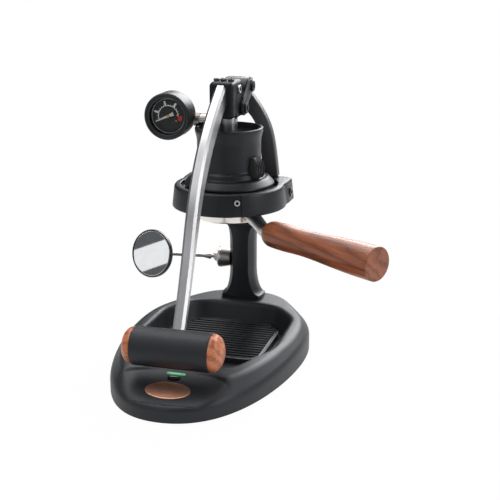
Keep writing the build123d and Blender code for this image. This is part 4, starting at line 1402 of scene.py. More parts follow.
    def build(self) -> None:
        """Makes the base's pieces and dresses its nodes."""
        add_piece("base_body", self.shell(), Coat.SHELL_LIT, "frame", ["base_shell"], sharp=50.0)
        add_piece("badge_oval", self.badge(), Coat.COPPER, "frame", ["front_badge"])
        light = self.light.skin(self.on_panel(self.light_y))
        add_piece("light_bar", light, Coat.GREEN, "frame", ["status_light"])
        # A thin dark plate round the button: painted shade of the recess the button sits in.
        well = self.button_shade_plate.skin(self.on_panel(self.button_y))
        add_piece("button_shade_plate", well, Coat.SOCKET_SHADE, "frame")
        button = self.button.skin(self.on_panel(self.button_y))
        add_piece("button_cap", button, Coat.GLOSS_BLACK, "button", ["power_button"])
        add_piece("grille_bars", self.grille(), Coat.GRILLE, "tray", ["drip_grille"])
        dress(["floor_plate"], Coat.BLACK)
        dress(["rubber_feet"], Coat.RUBBER)
        dress(["control_board"], Coat.BOARD)
        dress(["power_inlet", "drip_tray"], Coat.PLASTIC)
        dress(["post_bolts"], Coat.STEEL)


@dataclass
class Tower:
    """Post, group ring, arch and their screws; each row of the post is a depth, a waist and an inset."""

    turns: int = 1080
    post_rows: tuple[Triple, ...] = (
        (44.0, 8.8, 3.2),
        (44.35, 9.65, 2.35),
        (45.2, 10.0, 2.0),
        (51.0, 14.5, 0.0),
        (66.6, 14.5, 0.0),
        (67.6, 14.1, 0.4),
        (68.0, 13.1, 1.4),
    )
    post_foot: float = 25.0
    post_head: float = 20.0
    foot_flare: Triple = (39.0, 54.0, 71.0)
    head_flare: Triple = (104.0, 116.0, 126.0)
    flare_share: float = 0.55
    shaft_gap: float = 2.0
    base_top: float = 34.0
    ring_bottom: float = 162.0
    ring_top: float = 187.0
    ring_radius: float = 65.0
    ring_draft: float = 3.0
    ring_bore: float = 46.0
    ring_cuts: Numbers = (0, 2.0, 3.2, 1.6, 0.5, 0.2, 0.1, 0.1, 0)
    ring_fills: Counts = (2, 3, 2, 1, 1, 2, 1, 1)
    seat_bore: float = 54.5
    seat_floor: float = 182.0
    lip_bore: float = 40.5
    lip_top: float = 165.5
    slot_clearance: float = 0.01
    slot_half_angle: float = 24.0
    bayonet_turn: float = 42.0
    ear_x: float = 64.5
    ear_inner_x: float = 40.0
    ear_front: float = 19.0
    ear_rear: float = 53.0
    ear_blend: int = 45
    ear_bolt: Screw = Screw(5.5, 3.6, 2.4, 2.4)
    ear_bolt_place: Triple = (61.4, 33.0, 173.0)
    screw_angle: float = 24.0
    screw_flat: float = 0.9
    screw_flat_angle: float = 4.0
    ring_screw: Screw = Screw(3.3, 1.6, 1.7, 1.4)
    ring_screw_radius: float = 62.4
    ring_screw_z: float = 178.0
    handle_angle: float = 57.0
    leg_outer: Outline = ((46.0, 187.0), (42.5, 217.0), (35.8, 247.0), (23.6, 270.0), (13.2, 284.0))
    leg_inner: Outline = ((27.5, 187.0), (25.5, 219.0), (18.0, 250.0))
    crown_z: float = 266.0
    arch_top: float = 301.0
    arch_half: float = 13.2
    arch_depth: Pair = (42.0, 53.0)
    arch_corner: float = 2.4
    arch_edge: float = 1.4
    boss_centre: Pair = (31.0, 293.0)
    boss_radius: float = 9.0
    boss_rear: float = 44.0
    boss_corner: float = 1.6
    boss_edge: float = 0.8

    def hourglass(self, waist: float, inset: float) -> Array:
        """Outline with cubic flares at the foot and the top, P(t) in Bernstein form, of a fixed point count.

        Args:
            waist: half width of the shaft.
            inset: how far the foot and the top draw in.

        Returns:
            The outline's points.
        """
        foot, top = self.post_foot - inset, self.post_head - inset
        low_z, bend_z, shaft_low = self.foot_flare
        shaft_high, turn_z, high_z = self.head_flare
        pull = self.flare_share
        t = np.linspace(0, 1, 24)[:, None]
        weights = np.hstack([(1 - t) ** 3, 3 * t * (1 - t) ** 2, 3 * t**2 * (1 - t), t**3])
        near_foot, near_top = ((1 - pull) * end + pull * waist for end in (foot, top))
        low = weights @ np.array([(foot, low_z), (near_foot, low_z), (waist, bend_z), (waist, shaft_low)])
        high = weights @ np.array([(waist, shaft_high), (waist, turn_z), (near_top, high_z), (top, high_z)])
        levels = np.linspace(shaft_low + self.shaft_gap, shaft_high - self.shaft_gap, 20)
        shaft = np.stack([np.full(20, waist), levels], axis=1)
        right = np.vstack([[(foot, self.base_top)], low, shaft, high, [(top, self.ring_bottom)]])
        return np.vstack([right, right[::-1] * (-1, 1)])

    def post(self) -> Skin:
        """Ruled rows of hourglass outlines, narrow in front, widening to the rear slab, with eased edges.

        Returns:
            The closed surface.
        """
        lines = np.stack([self.hourglass(waist, inset) for _, waist, inset in self.post_rows], axis=1)
        depth = np.broadcast_to(np.array([y for y, _, _ in self.post_rows]), lines.shape[:2])
        p = on_xz(lines[..., 0], lines[..., 1], depth)
        return Skin(p.reshape(-1, 3), tube_faces(*lines.shape[:2]))

    def ring_outside(self, a: Array) -> Array:
        """Outer radius: the larger of the circle's and the ears', blended, with the screw's flat.

        Args:
            a: the angles.

        Returns:
            The radius at each angle.
        """
        c, s = np.abs(np.cos(a)) + TINY, np.sin(a) + TINY
        side = self.ear_x / c
        side_y = side * s
        rear = self.ear_rear / np.maximum(s, 1e-6)
        rear_x = rear * c
        on_side = (side_y >= self.ear_front) & (side_y <= self.ear_rear)
        on_rear = (rear_x >= self.ear_inner_x) & (rear_x <= self.ear_x) & (s > 0)
        ear = np.maximum(np.where(on_side, side, 0.0), np.where(on_rear, rear, 0.0))
        outer = np.maximum(ear, self.ring_radius)
        kernel = np.hanning(self.ear_blend)
        reach = self.ear_blend // 2
        wide = np.concatenate([outer[-reach:], outer, outer[:reach]])
        outer = np.convolve(wide, kernel / kernel.sum(), "valid")
        flat = turn_off(a, self.screw_angle - QUARTER) < math.radians(self.screw_flat_angle)
        return outer - np.where(flat, self.screw_flat, 0.0)

    def ring(self) -> Skin:
        """Drafted ring with two rear ears, its seat, its bayonet slots and the flat of the front screw.

        Returns:
            The closed surface.
        """
        a = round_angles(self.turns)
        outer = self.ring_outside(a)
        lip = np.full(self.turns, self.lip_bore)
        for lug in (self.handle_angle + QUARTER, self.handle_angle - QUARTER):
            slot = turn_off(a, lug - self.bayonet_turn - QUARTER) < math.radians(self.slot_half_angle)
            lip = np.where(slot, self.ring_bore - self.slot_clearance, lip)
        corners = [
            (lip, self.ring_bottom),
            (outer, self.ring_bottom),
            (outer - self.ring_draft, self.ring_top),
            (self.seat_bore, self.ring_top),
            (self.seat_bore, self.seat_floor),
            (self.ring_bore, self.seat_floor),
            (self.ring_bore, self.lip_top),
            (lip, self.lip_top),
            (lip, self.ring_bottom),
        ]
        section = rounded_section(swung(corners, self.turns), self.ring_cuts, self.ring_fills, 6)
        return polar_solid(section, (0.0, 0.0))

    def arch(self) -> Skin:
        """Two curved legs that meet in a head, and the round boss of the fulcrum in front of it.

        Returns:
            Legs and boss as one surface.
        """
        outer = natural_spline(self.leg_outer, 22)
        head = np.array([(self.arch_half, self.arch_top), (-self.arch_half, self.arch_top)])
        inner_left = tuple((-x, z) for x, z in self.leg_inner)
        inner = natural_spline(inner_left + ((0.0, self.crown_z),) + self.leg_inner[::-1], 36)
        corners = np.vstack([outer, head, outer[::-1] * (-1, 1), inner])
        legs = slab(rounded_polygon(corners, self.arch_corner, 5), *self.arch_depth, self.arch_edge, on_xz)
        y, z = self.boss_centre
        r = self.boss_radius
        turn = np.linspace(math.pi / 2, 3 * math.pi / 2, 30)
        nose = np.stack([y + r * np.cos(turn), z + r * np.sin(turn)], axis=1)
        line = rounded_polygon(
            np.vstack([nose, [(self.boss_rear, z - r), (self.boss_rear, z + r)]]), self.boss_corner, 4
        )
        return Skin.join([legs, slab(line, -self.arch_half, self.arch_half, self.boss_edge, on_yz)])

    def build(self) -> None:
        """Makes the tower's pieces."""
        add_piece("post_body", self.post(), Coat.BLACK, "frame", ["post"], sharp=40.0)
        add_piece("ring_body", self.ring(), Coat.BLACK, "frame", ["group_ring"], sharp=40.0)
        add_piece("arch_body", self.arch(), Coat.ARCH_LIT, "frame", ["arch"])
        bolts = self.ear_bolt.pair(self.ear_bolt_place)
        add_screws("ear_bolts", bolts, Coat.BLACK_SCREW, "frame", ["side_bolts"])
        turn = math.radians(self.screw_angle)
        out = np.array([math.sin(turn), -math.cos(turn), 0.0])
        screw = self.ring_screw.head(self.ring_screw_radius * out + (0, 0, self.ring_screw_z), out)
        add_screws("ring_screw", [screw], Coat.STEEL, "frame", ["front_screw"])


@dataclass
class Lever:
    """Lever head, arm, pins, screws and the cross grip."""

    arm_rows: int = 160
    arm_front: Outline = ((-31.0, 301.0), (-82.0, 262.0), (-130.0, 201.0), (-156.0, 139.0), (-193.0, 61.0))
    arm_rear: Outline = ((-31.0, 278.0), (-66.0, 250.0), (-116.0, 191.0), (-144.0, 135.0), (-181.0, 61.0))
    half_width: float = 6.2
    edge: float = 2.7
    head_half: float = 13.5
    head_block: Outline = (
        (-32.0, 263.5), (-15.5, 263.5), (-15.5, 288.5), (9.0, 288.5), (9.0, 304.0), (-32.0, 304.0)
    )
    head_corner: float = 6.5
    head_edge: float = 4.4
    cheek: Outline = ((-18.0, 263.5), (11.5, 263.5), (11.5, 279.0), (9.0, 292.0), (-18.0, 292.0))
    cheek_corner: float = 6.0
    cheek_edge: float = 1.4
    outline_step: float = 0.6
    fork_half: float = 8.2
    grip_y: float = -200.0
    grip_z: float = 61.0
    grip_radius: float = 19.8
    grip_half: float = 40.5
    grip_bore: float = 4.0
    sleeve_roll: float = 1.6
    cap_step: float = 0.75
    cap_ease: float = 0.5
    cap_lip: float = 1.0
    cap_dome: float = 11.0
    cap_fullness: float = 0.8
    link_inner: float = 13.8
    link_outer: float = 18.0
    link_radius: float = 8.0
    link_waist: float = 2.0
    link_edge: float = 0.8
    fulcrum: Pair = (31.0, 293.0)
    fulcrum_radius: float = 4.0
    stem_pin: Pair = (3.0, 272.0)
    stem_pin_radius: float = 3.5
    pin_head: Screw = Screw(6.0, 2.5, 2.5, 1.6)
    cross_bolt: Screw = Screw(4.5, 2.4, 2.2, 1.4)
    cross_bolt_place: Pair = (-8.0, 294.5)
    top_screw: Screw = Screw(3.3, 2.6, 1.5, 1.6)
    top_screw_pitch: float = 8.2
    top_screw_place: Pair = (-19.0, 304.0)

    def arm(self) -> Skin:
        """Chamfered bar between its front and rear splines; its own coordinates are (x, depth, length).

        Returns:
            The bar with the vector attribute that the brushing follows.
        """
        front, rear = (natural_spline(line, self.arm_rows) for line in (self.arm_front, self.arm_rear))
        middle, across = (front + rear) / 2, (rear - front) / 2
        half = np.linalg.norm(across, axis=1)
        w, e = self.half_width, self.edge
        x = np.array([w, w, w - e, e - w, -w, -w, e - w, w - e])[:, None].repeat(self.arm_rows, 1)
        sign = np.array([-1, 1, 1, 1, 1, -1, -1, -1])[:, None]
        back = np.array([e, e, 0, 0, e, e, 0, 0])[:, None]
        depth = sign * (half - back)
        yz = middle + across / half[:, None] * depth[..., None]
        p = np.concatenate([x[..., None], yz], axis=-1)
        length = np.concatenate([[0.0], np.cumsum(np.linalg.norm(np.diff(middle, axis=0), axis=1))])
        along = np.stack([x, depth, np.broadcast_to(length, x.shape)], axis=-1)
        return Skin(p.reshape(-1, 3), tube_faces(*x.shape), along.reshape(-1, 3))

    def head(self) -> Skin:
        """Rounded block over the pivot, with two cheeks that leave the fork open for the plunger's eye.

        Returns:
            Block and cheeks as one surface.
        """
        block = densify(rounded_polygon(self.head_block, self.head_corner), self.outline_step)
        cheek = densify(rounded_polygon(self.cheek, self.cheek_corner), self.outline_step)
        middle = slab(block, -self.head_half, self.head_half, self.head_edge, on_yz)
        right = slab(cheek, self.fork_half, self.head_half, self.cheek_edge, on_yz)
        left = slab(cheek, -self.head_half, -self.fork_half, self.cheek_edge, on_yz)
        return Skin.join([middle, right, left])

    def link(self, sign: int) -> Skin:
        """Link plate: the outline is the outer hull of two circles drawn in at the waist.

        Args:
            sign: 1 for the right link, -1 for the left.

        Returns:
            The plate.
        """
        r = self.link_radius
        start = np.array(self.fulcrum)
        run = np.array(self.stem_pin) - start
        length = float(np.linalg.norm(run))
        u = run / length
        v = np.array([-u[1], u[0]])
        s = np.linspace(0.0, length, 30)
        waist = r - self.link_waist * np.sin(math.pi * s / length)
        t = np.linspace(math.pi / 2, 3 * math.pi / 2, 24)
        near = np.stack([r * np.cos(t), r * np.sin(t)], axis=1)
        far = np.stack([length - r * np.cos(t), -r * np.sin(t)], axis=1)
        low = np.stack([s, -waist], axis=1)
        high = np.stack([s[::-1], waist[::-1]], axis=1)
        flat = np.vstack([near, low[1:-1], far, high[1:-1]])
        line = start + flat[:, :1] * u + flat[:, 1:] * v
        low_x, high_x = sorted((sign * self.link_inner, sign * self.link_outer))
        return slab(line, low_x, high_x, self.link_edge, on_yz)

    def sleeve(self) -> Skin:
        """Sleeve of the grip, turned about X, with rolled ends.

        Returns:
            The sleeve.
        """
        b, r, h = self.grip_bore, self.grip_radius, self.grip_half
        cuts = (0, self.sleeve_roll, self.sleeve_roll, 0.1, 0)
        section = Profile(((b, -h), (r, -h), (r, h), (b, h), (b, -h)), cuts, (2, 16, 2, 1), 8)
        return turned(section.line(), (0.0, self.grip_y, self.grip_z), (1, 0, 0), 160)

    def cap(self, sign: int) -> Skin:
        """Turned cap: a short lip and a dome r = R cos(t) to a power, h = lip + D sin t.

        Args:
            sign: 1 for the right cap, -1 for the left.

        Returns:
            The cap.
        """
        t = np.linspace(0, math.pi / 2, 28)
        r = self.grip_radius - self.cap_step
        level = self.cap_lip + self.cap_dome * np.sin(t)
        dome = np.stack([r * np.cos(t) ** self.cap_fullness, level], axis=1)
        section = np.vstack([[(0.0, 0.0), (r - self.cap_ease, 0.0), (r, self.cap_ease)], dome])
        return turned(section, (sign * self.grip_half, self.grip_y, self.grip_z), (sign, 0, 0), 128)

    def pin(self, place: Pair, shaft: float) -> list[Skin]:
        """Pin across the links: a shaft and a socket head on each end.

        Args:
            place: its y and z.
            shaft: its radius.

        Returns:
            The three surfaces.
        """
        end = self.link_outer
        section = np.array([(0.0, -end), (shaft, -end), (shaft, end), (0.0, end)])
        return [turned(section, (0, *place), (1, 0, 0), 48), *self.pin_head.pair((end, *place))]

    def build(self) -> None:
        """Makes the lever's pieces and dresses its nodes."""
        add_piece("arm_bar", self.arm(), Coat.ARM, "lever", ["lever_arm"], sharp=20.0)
        add_piece("head_block", self.head(), Coat.HEAD, "lever", ["lever_head"])
        add_piece("link_right", self.link(1), Coat.BLACK, "lever", ["fulcrum_link_right"])
        add_piece("link_left", self.link(-1), Coat.BLACK, "lever", ["fulcrum_link_left"])
        add_piece("grip_cover", self.sleeve(), Coat.HIDE, "lever", ["grip_sleeve"])
        add_piece("cap_left", self.cap(-1), Coat.CAP_WOOD_LIT, "lever", ["grip_cap_left"])
        add_piece("cap_right", self.cap(1), Coat.CAP_WOOD_LIT, "lever", ["grip_cap_right"])
        fulcrum = self.pin(self.fulcrum, self.fulcrum_radius)
        add_screws("fulcrum_axle", fulcrum, Coat.BLACK_SCREW, "lever", ["fulcrum_pin"])
        stem = self.pin(self.stem_pin, self.stem_pin_radius)
        add_screws("stem_axle", stem, Coat.BLACK_SCREW, "lever", ["stem_pin"])
        bolts = self.cross_bolt.pair((self.head_half, *self.cross_bolt_place))
        add_screws("head_bolts", bolts, Coat.STEEL, "lever", ["cross_bolts"])
        places = [(i * self.top_screw_pitch, *self.top_screw_place) for i in (-1, 0, 1)]
        tops = [self.top_screw.head(place, (0, 0, 1)) for place in places]
        add_screws("head_screws", tops, Coat.DARK_STEEL, "lever", ["top_screws"])
        dress(["grip_rod"], Coat.STEEL)


@dataclass
class BrewGroup:
    """Chamber, plug and the plunger's parts."""

    wall: float = 36.0
    chamber_section: Profile = Profile(
        (
            (0.0, 174.0), (45.6, 174.0), (45.6, 186.6), (51.0, 186.6), (51.0, 188.8), (44.5, 195.6),
            (39.4, 196.4), (39.0, 201.5), (36.0, 204.0), (36.0, 238.0), (38.3, 247.0), (38.3, 251.0),
            (34.6, 251.0), (33.4, 244.0), (29.0, 238.0), (29.0, 180.0), (0.0, 180.0),
        ),
        (0, 0.5, 0.5, 0.8, 1.1, 3.2, 2.4, 1.6, 2.4, 9.0, 2.0, 1.3, 1.2, 2.0, 2.0, 1.0, 0),
        (1, 1, 1, 1, 2, 1, 1, 1, 4, 2, 1, 2, 1, 1, 4, 2),
    )
    shaft_section: Profile = Profile(
        ((0, 199.0), (9.6, 199.0), (9.6, 262.0), (0, 262.0)), (0, 0.3, 1.2, 0), (2, 6, 2), 6
    )
    eye_centre: Pair = (3.0, 272.0)
    eye_radius: float = 9.0
    eye_foot: Pair = (-6.0, 9.0)
    eye_bottom: float = 260.0
    eye_corner: float = 1.4
    eye_half: float = 7.8
    eye_edge: float = 0.6
    plug_angle: float = 66.0
    plug_bottom: float = 198.0
    plug_height: float = 23.0
    plug_half: float = 7.5
    plug_depth: float = 9.0
    plug_sunk: float = 0.8
    plug_taper_share: float = 0.22
    plug_middle_share: float = 0.42
    plug_reach_share: float = 0.62
    rib_half_depth: float = 0.7
    rib_waves: float = 5.0
    rib_squareness: float = 4.0

    def chamber(self) -> Skin:
        """Turned chamber: flange, bell shoulder, bead, wall and flared rim over a funnel."""
        return turned(self.chamber_section.line(), (0, 0, 0), (0, 0, 1), 192)

    def stem(self) -> Skin:
        """Turned stem from the piston to below the pin, and the eye that the pin passes through.

        Returns:
            Shaft and eye as one surface.
        """
        shaft = turned(self.shaft_section.line(), (0, 0, 0), (0, 0, 1), 96)
        y, z = self.eye_centre
        r = self.eye_radius
        t = np.linspace(0, math.pi, 40)
        top = np.stack([y + r * np.cos(t), z + r * np.sin(t)], axis=1)
        foot = [(end, self.eye_bottom) for end in self.eye_foot]
        line = rounded_polygon(np.vstack([top, foot]), self.eye_corner, 4)
        return Skin.join([shaft, slab(line, -self.eye_half, self.eye_half, self.eye_edge, on_yz)])

    def plug(self) -> Skin:
        """Ribbed wedge on the wall: its depth follows an ellipse, its ribs a squared-off cosine.

        Returns:
            The plug, standing in the wall's side.
        """
        h = np.linspace(0, 1, 24)[None, :]
        u = np.linspace(-1, 1, 121)[:, None]
        bulge = self.plug_depth * np.sqrt(1 - ((h - self.plug_middle_share) / self.plug_reach_share) ** 2)
        wave = np.tanh(self.rib_squareness * np.cos(self.rib_waves * math.pi * u))
        out = self.wall + bulge - self.rib_half_depth * (1 + wave)
        side = self.plug_half * (1 - self.plug_taper_share * h**2) * u
        inner = np.full_like(h, self.wall - self.plug_sunk)
        r = np.vstack([inner, out, inner])[..., None]
        s = np.vstack([side[:1], side, side[-1:]])[..., None]
        turn = math.radians(self.plug_angle)
        away = np.array([math.sin(turn), -math.cos(turn), 0.0])
        across = np.array([math.cos(turn), math.sin(turn), 0.0])
        rise = (self.plug_bottom + self.plug_height * h)[..., None] * (0.0, 0.0, 1.0)
        p = r * away + s * across + rise
        return Skin(p.reshape(-1, 3), tube_faces(*p.shape[:2]))

    def build(self) -> None:
        """Makes the chamber, the stem and the plug and dresses the rest."""
        add_piece("stem_rod", self.stem(), Coat.STEEL, "plunger", ["plunger_stem"])
        add_piece("chamber_body", self.chamber(), Coat.BLACK, "frame", ["brew_chamber"])
        add_piece("plug_grip", self.plug(), Coat.PLASTIC, "frame", ["heater_plug"])
        dress(["chamber_gasket", "piston_seals"], Coat.RUBBER)
        dress(["shower_screen", "piston"], Coat.CHROME)


@dataclass
class Gauge:
    """Pressure gauge with its case, bezel, pane, dial, needle and tube; levels run back from its face."""

    x: float = -63.0
    z: float = 264.0
    face_y: float = -31.0
    depth: float = 27.0
    radius: float = 26.0
    mouth: float = 23.0
    window: float = 22.7
    case_cut: float = 2.4
    fine_cut: float = 0.4
    dial_levels: Pair = (8.0, 7.0)
    dial_cut: float = 0.05
    bezel_inside: Outline = ((20.4, 1.2), (20.2, 2.2))
    bezel_levels: Pair = (2.2, 0.4)
    pane_levels: Pair = (3.8, 2.6)
    pane_cut: float = 0.1
    pane_dome: Outline = ((12.0, 2.3), (0, 2.2))
    hub_radius: float = 1.9
    hub_levels: Pair = (6.3, 4.9)
    needle_outline: Outline = (
        (-7.0, -2.2),
        (-1.0, -1.3),
        (16.0, -0.6),
        (16.0, 0.6),
        (-1.0, 1.3),
        (-7.0, 2.2),
    )
    needle_turn: float = 204.0
    needle_level: float = 6.3
    needle_thick: float = 0.6
    needle_edge: float = 0.15
    needle_step: float = 0.7
    tube_y: float = -6.0
    tube_z: float = 258.6
    tube_end: float = -8.2
    tube_sunk: float = 0.6
    union_length: float = 7.0
    union_radius: float = 7.0
    union_rib: float = 0.35
    union_pitch: float = 1.75
    union_squareness: float = 3.0
    tube_collar: Outline = ((6.2, 7.2), (6.2, 8.4), (6.9, 8.6), (6.9, 18.0), (6.4, 18.4), (4.8, 18.6))

    def ring(self, corners: Outline, cut: float) -> Skin:
        """Turned piece about the gauge's axis.

        Args:
            corners: radius and level of each corner.
            cut: how far each corner is cut back.

        Returns:
            The piece.
        """
        section = Profile(corners, (cut,) * len(corners), (2,) * (len(corners) - 1), 6)
        return turned(section.line(), (self.x, self.face_y, self.z), (0, 1, 0), 128)

    def needle(self) -> Skin:
        """Tapered pointer with a broad tail, lying on the dial and turned to its rest angle.

        Returns:
            The pointer.
        """
        c, s = math.cos(math.radians(self.needle_turn)), math.sin(math.radians(self.needle_turn))
        line = densify(np.array(self.needle_outline), self.needle_step)
        level = self.face_y + self.needle_level

        def place(p: Array, q: Array, w: Array) -> Array:
            """Point on the dial at p along the pointer, q across and w out of it."""
            return np.stack([self.x + p * c - q * s, level - w, self.z + p * s + q * c], axis=-1)

        return slab(line, 0.0, self.needle_thick, self.needle_edge, place, 3)

    def tube(self) -> Skin:
        """Turned tube from the case to the stem: ribbed union, collar and plain tube, along +X.

        Returns:
            The tube.
        """
        start = self.x + math.sqrt(self.radius**2 - (self.tube_z - self.z) ** 2) - self.tube_sunk
        length = self.tube_end - start
        run = np.linspace(0.0, self.union_length, 60)
        wave = np.tanh(self.union_squareness * np.sin(run * TAU / self.union_pitch))
        union = np.stack([self.union_radius + self.union_rib * wave, run], axis=1)
        end = [(self.tube_collar[-1][0], length), (0.0, length)]
        section = np.vstack([[(0.0, 0.0)], union, self.tube_collar, end])
        return turned(section, (start, self.tube_y, self.tube_z), (1, 0, 0), 72)

    def build(self) -> None:
        """Makes the gauge's pieces."""
        r, d, m, w = self.radius, self.depth, self.mouth, self.window
        back, front = self.dial_levels
        case = self.ring(((0, d), (r, d), (r, 0), (m, 0), (m, back), (0, back)), self.case_cut)
        add_piece("gauge_shell", case, Coat.GAUGE, "plunger", ["gauge_case"])
        low, high = self.bezel_levels
        bezel = self.ring(((w, low), (w, high), *self.bezel_inside, (w, low)), self.fine_cut)
        add_piece("gauge_rim", bezel, Coat.GAUGE, "plunger", ["gauge_bezel"])
        dial = self.ring(((0, back), (w, back), (w, front), (0, front)), self.dial_cut)
        add_piece("gauge_plate", dial, Coat.DIAL, "plunger", ["gauge_dial"])
        low, high = self.pane_levels
        pane = self.ring(((0, low), (w, low), (w, high), *self.pane_dome), self.pane_cut)
        add_piece("gauge_pane", pane, Coat.PANE, "plunger", ["gauge_lens"])
        add_piece("gauge_pointer", self.needle(), Coat.NEEDLE, "needle", ["gauge_needle"])
        low, high = self.hub_levels
        r = self.hub_radius
        hub = self.ring(((0, low), (r, low), (r, high), (0, high)), self.fine_cut)
        add_piece("gauge_hub", hub, Coat.BRASS, "needle")
        add_piece("gauge_union", self.tube(), Coat.NICKEL, "plunger", ["gauge_tube"])


@dataclass
class Portafilter:
    """Bayonet body, neck and turned wooden handle."""

    turns: int = 360
    angle: float = 57.0
    cup_radius: float = 36.5
    cup_bore: float = 33.5
    cup_bottom: float = 148.0
    cup_top: float = 170.4
    cup_cuts: Numbers = (0, 1.2, 0.1, 0.1, 0.1, 0.1, 0.4, 0.4, 0)
    cup_fills: Counts = (2, 4, 1, 1, 1, 1, 1, 3)
    lug_radius: float = 45.4
    lug_half_angle: float = 20.0
    lug_low: float = 165.8
    lug_high: float = 168.8
    neck_stops: Outline = ((35.0, 156.5), (46.0, 151.5), (58.0, 144.0), (66.0, 141.8))
    neck_half_width: float = 9.2
    neck_narrowing: float = 1.4
    neck_flare: float = 1.2
    neck_half_height: float = 8.0
    neck_lowering: float = 0.2
    handle_z: float = 141.5
    start: float = 61.5
    end: float = 226.0
    handle_shares: Numbers = (0.0, 0.10, 0.28, 0.55, 0.85, 1.0)
    handle_radii: Numbers = (14.6, 14.9, 14.2, 15.8, 17.9, 18.1)
    handle_dome: float = 15.0
    dome_fullness: float = 0.85
    end_ease: float = 1.2
    end_middle: float = 9.0

    def toward(self, radius: float, z: float) -> Triple:
        """Point at a distance from the brew axis in the handle's direction."""
        a = math.radians(self.angle)
        return (radius * math.sin(a), -radius * math.cos(a), z)

    def body(self) -> Skin:
        """Turned cup with two lugs: the radius of the lug rows grows inside the lugs' angles.

        Returns:
            The cup.
        """
        a = round_angles(self.turns)
        lug = np.full(self.turns, self.cup_radius)
        for centre in (self.angle + QUARTER, self.angle - QUARTER):
            inside = turn_off(a, centre - QUARTER) < math.radians(self.lug_half_angle)
            lug = np.where(inside, self.lug_radius, lug)
        corners = [
            (self.cup_bore, self.cup_bottom),
            (self.cup_radius, self.cup_bottom),
            (self.cup_radius, self.lug_low),
            (lug, self.lug_low),
            (lug, self.lug_high),
            (self.cup_radius, self.lug_high),
            (self.cup_radius, self.cup_top),
            (self.cup_bore, self.cup_top),
            (self.cup_bore, self.cup_bottom),
        ]
        section = rounded_section(swung(corners, self.turns), self.cup_cuts, self.cup_fills, 5)
        return polar_solid(section, (0.0, 0.0))

    def neck(self) -> Skin:
        """Neck from the cup to the handle: an ellipse that narrows, carried along a spline.

        Returns:
            The neck, marked for its own finish.
        """
        path = natural_spline([self.toward(r, z) for r, z in self.neck_stops], 40)
        a = round_angles(48)[:, None, None]
        s = np.linspace(0, 1, 40)[None, :, None]
        wide = self.neck_half_width - self.neck_narrowing * s + self.neck_flare * (1 - s) ** 4
        tall = self.neck_half_height - self.neck_lowering * s
        side = np.cross(self.toward(1.0, 0.0), (0, 0, 1))
        p = path + wide * np.cos(a) * side + tall * np.sin(a) * np.array([0.0, 0.0, 1.0])
        faces = tube_faces(*p.shape[:2])
        return Skin(p.reshape(-1, 3), faces, marks=[1] * len(faces))

    def handle(self) -> Skin:
        """Handle turned from a spline of radii, domed at the neck and with an eased flat end.

        Returns:
            The handle.
        """
        length = self.end - self.start
        first, last = self.handle_radii[0], self.handle_radii[-1]
        t = np.linspace(0, math.pi / 2, 16)
        dome = np.stack([first * np.sin(t) ** self.dome_fullness, self.handle_dome * (1 - np.cos(t))], axis=1)
        straight = length - self.handle_dome - self.end_ease
        stops = self.handle_dome + np.array(self.handle_shares) * straight
        side = natural_spline(np.stack([self.handle_radii, stops], axis=1), 80)
        t = np.linspace(0, math.pi / 2, 7)[1:]
        step = self.end_ease
        ease = np.stack([last - step * (1 - np.cos(t)), length - step * (1 - np.sin(t))], axis=1)
        section = np.vstack([dome, side[1:], ease, [(self.end_middle, length), (0.0, length)]])
        return turned(section, self.toward(self.start, self.handle_z), self.toward(1.0, 0.0), 144)

    def build(self) -> None:
        """Makes the portafilter's pieces."""
        cup = Skin.join([self.body(), self.neck()])
        stands_for = ["portafilter_body"]
        holder = add_piece("filter_holder", cup, Coat.WARM_CHROME, "portafilter", stands_for)
        holder.data.materials.append(paints.get(Coat.SATIN))
        wood = self.handle()
        node = ["portafilter_handle"]
        add_piece("handle_turned", wood, Coat.HANDLE_WOOD, "portafilter", node, sharp=50.0)
        dress(["filter_basket"], Coat.STEEL)


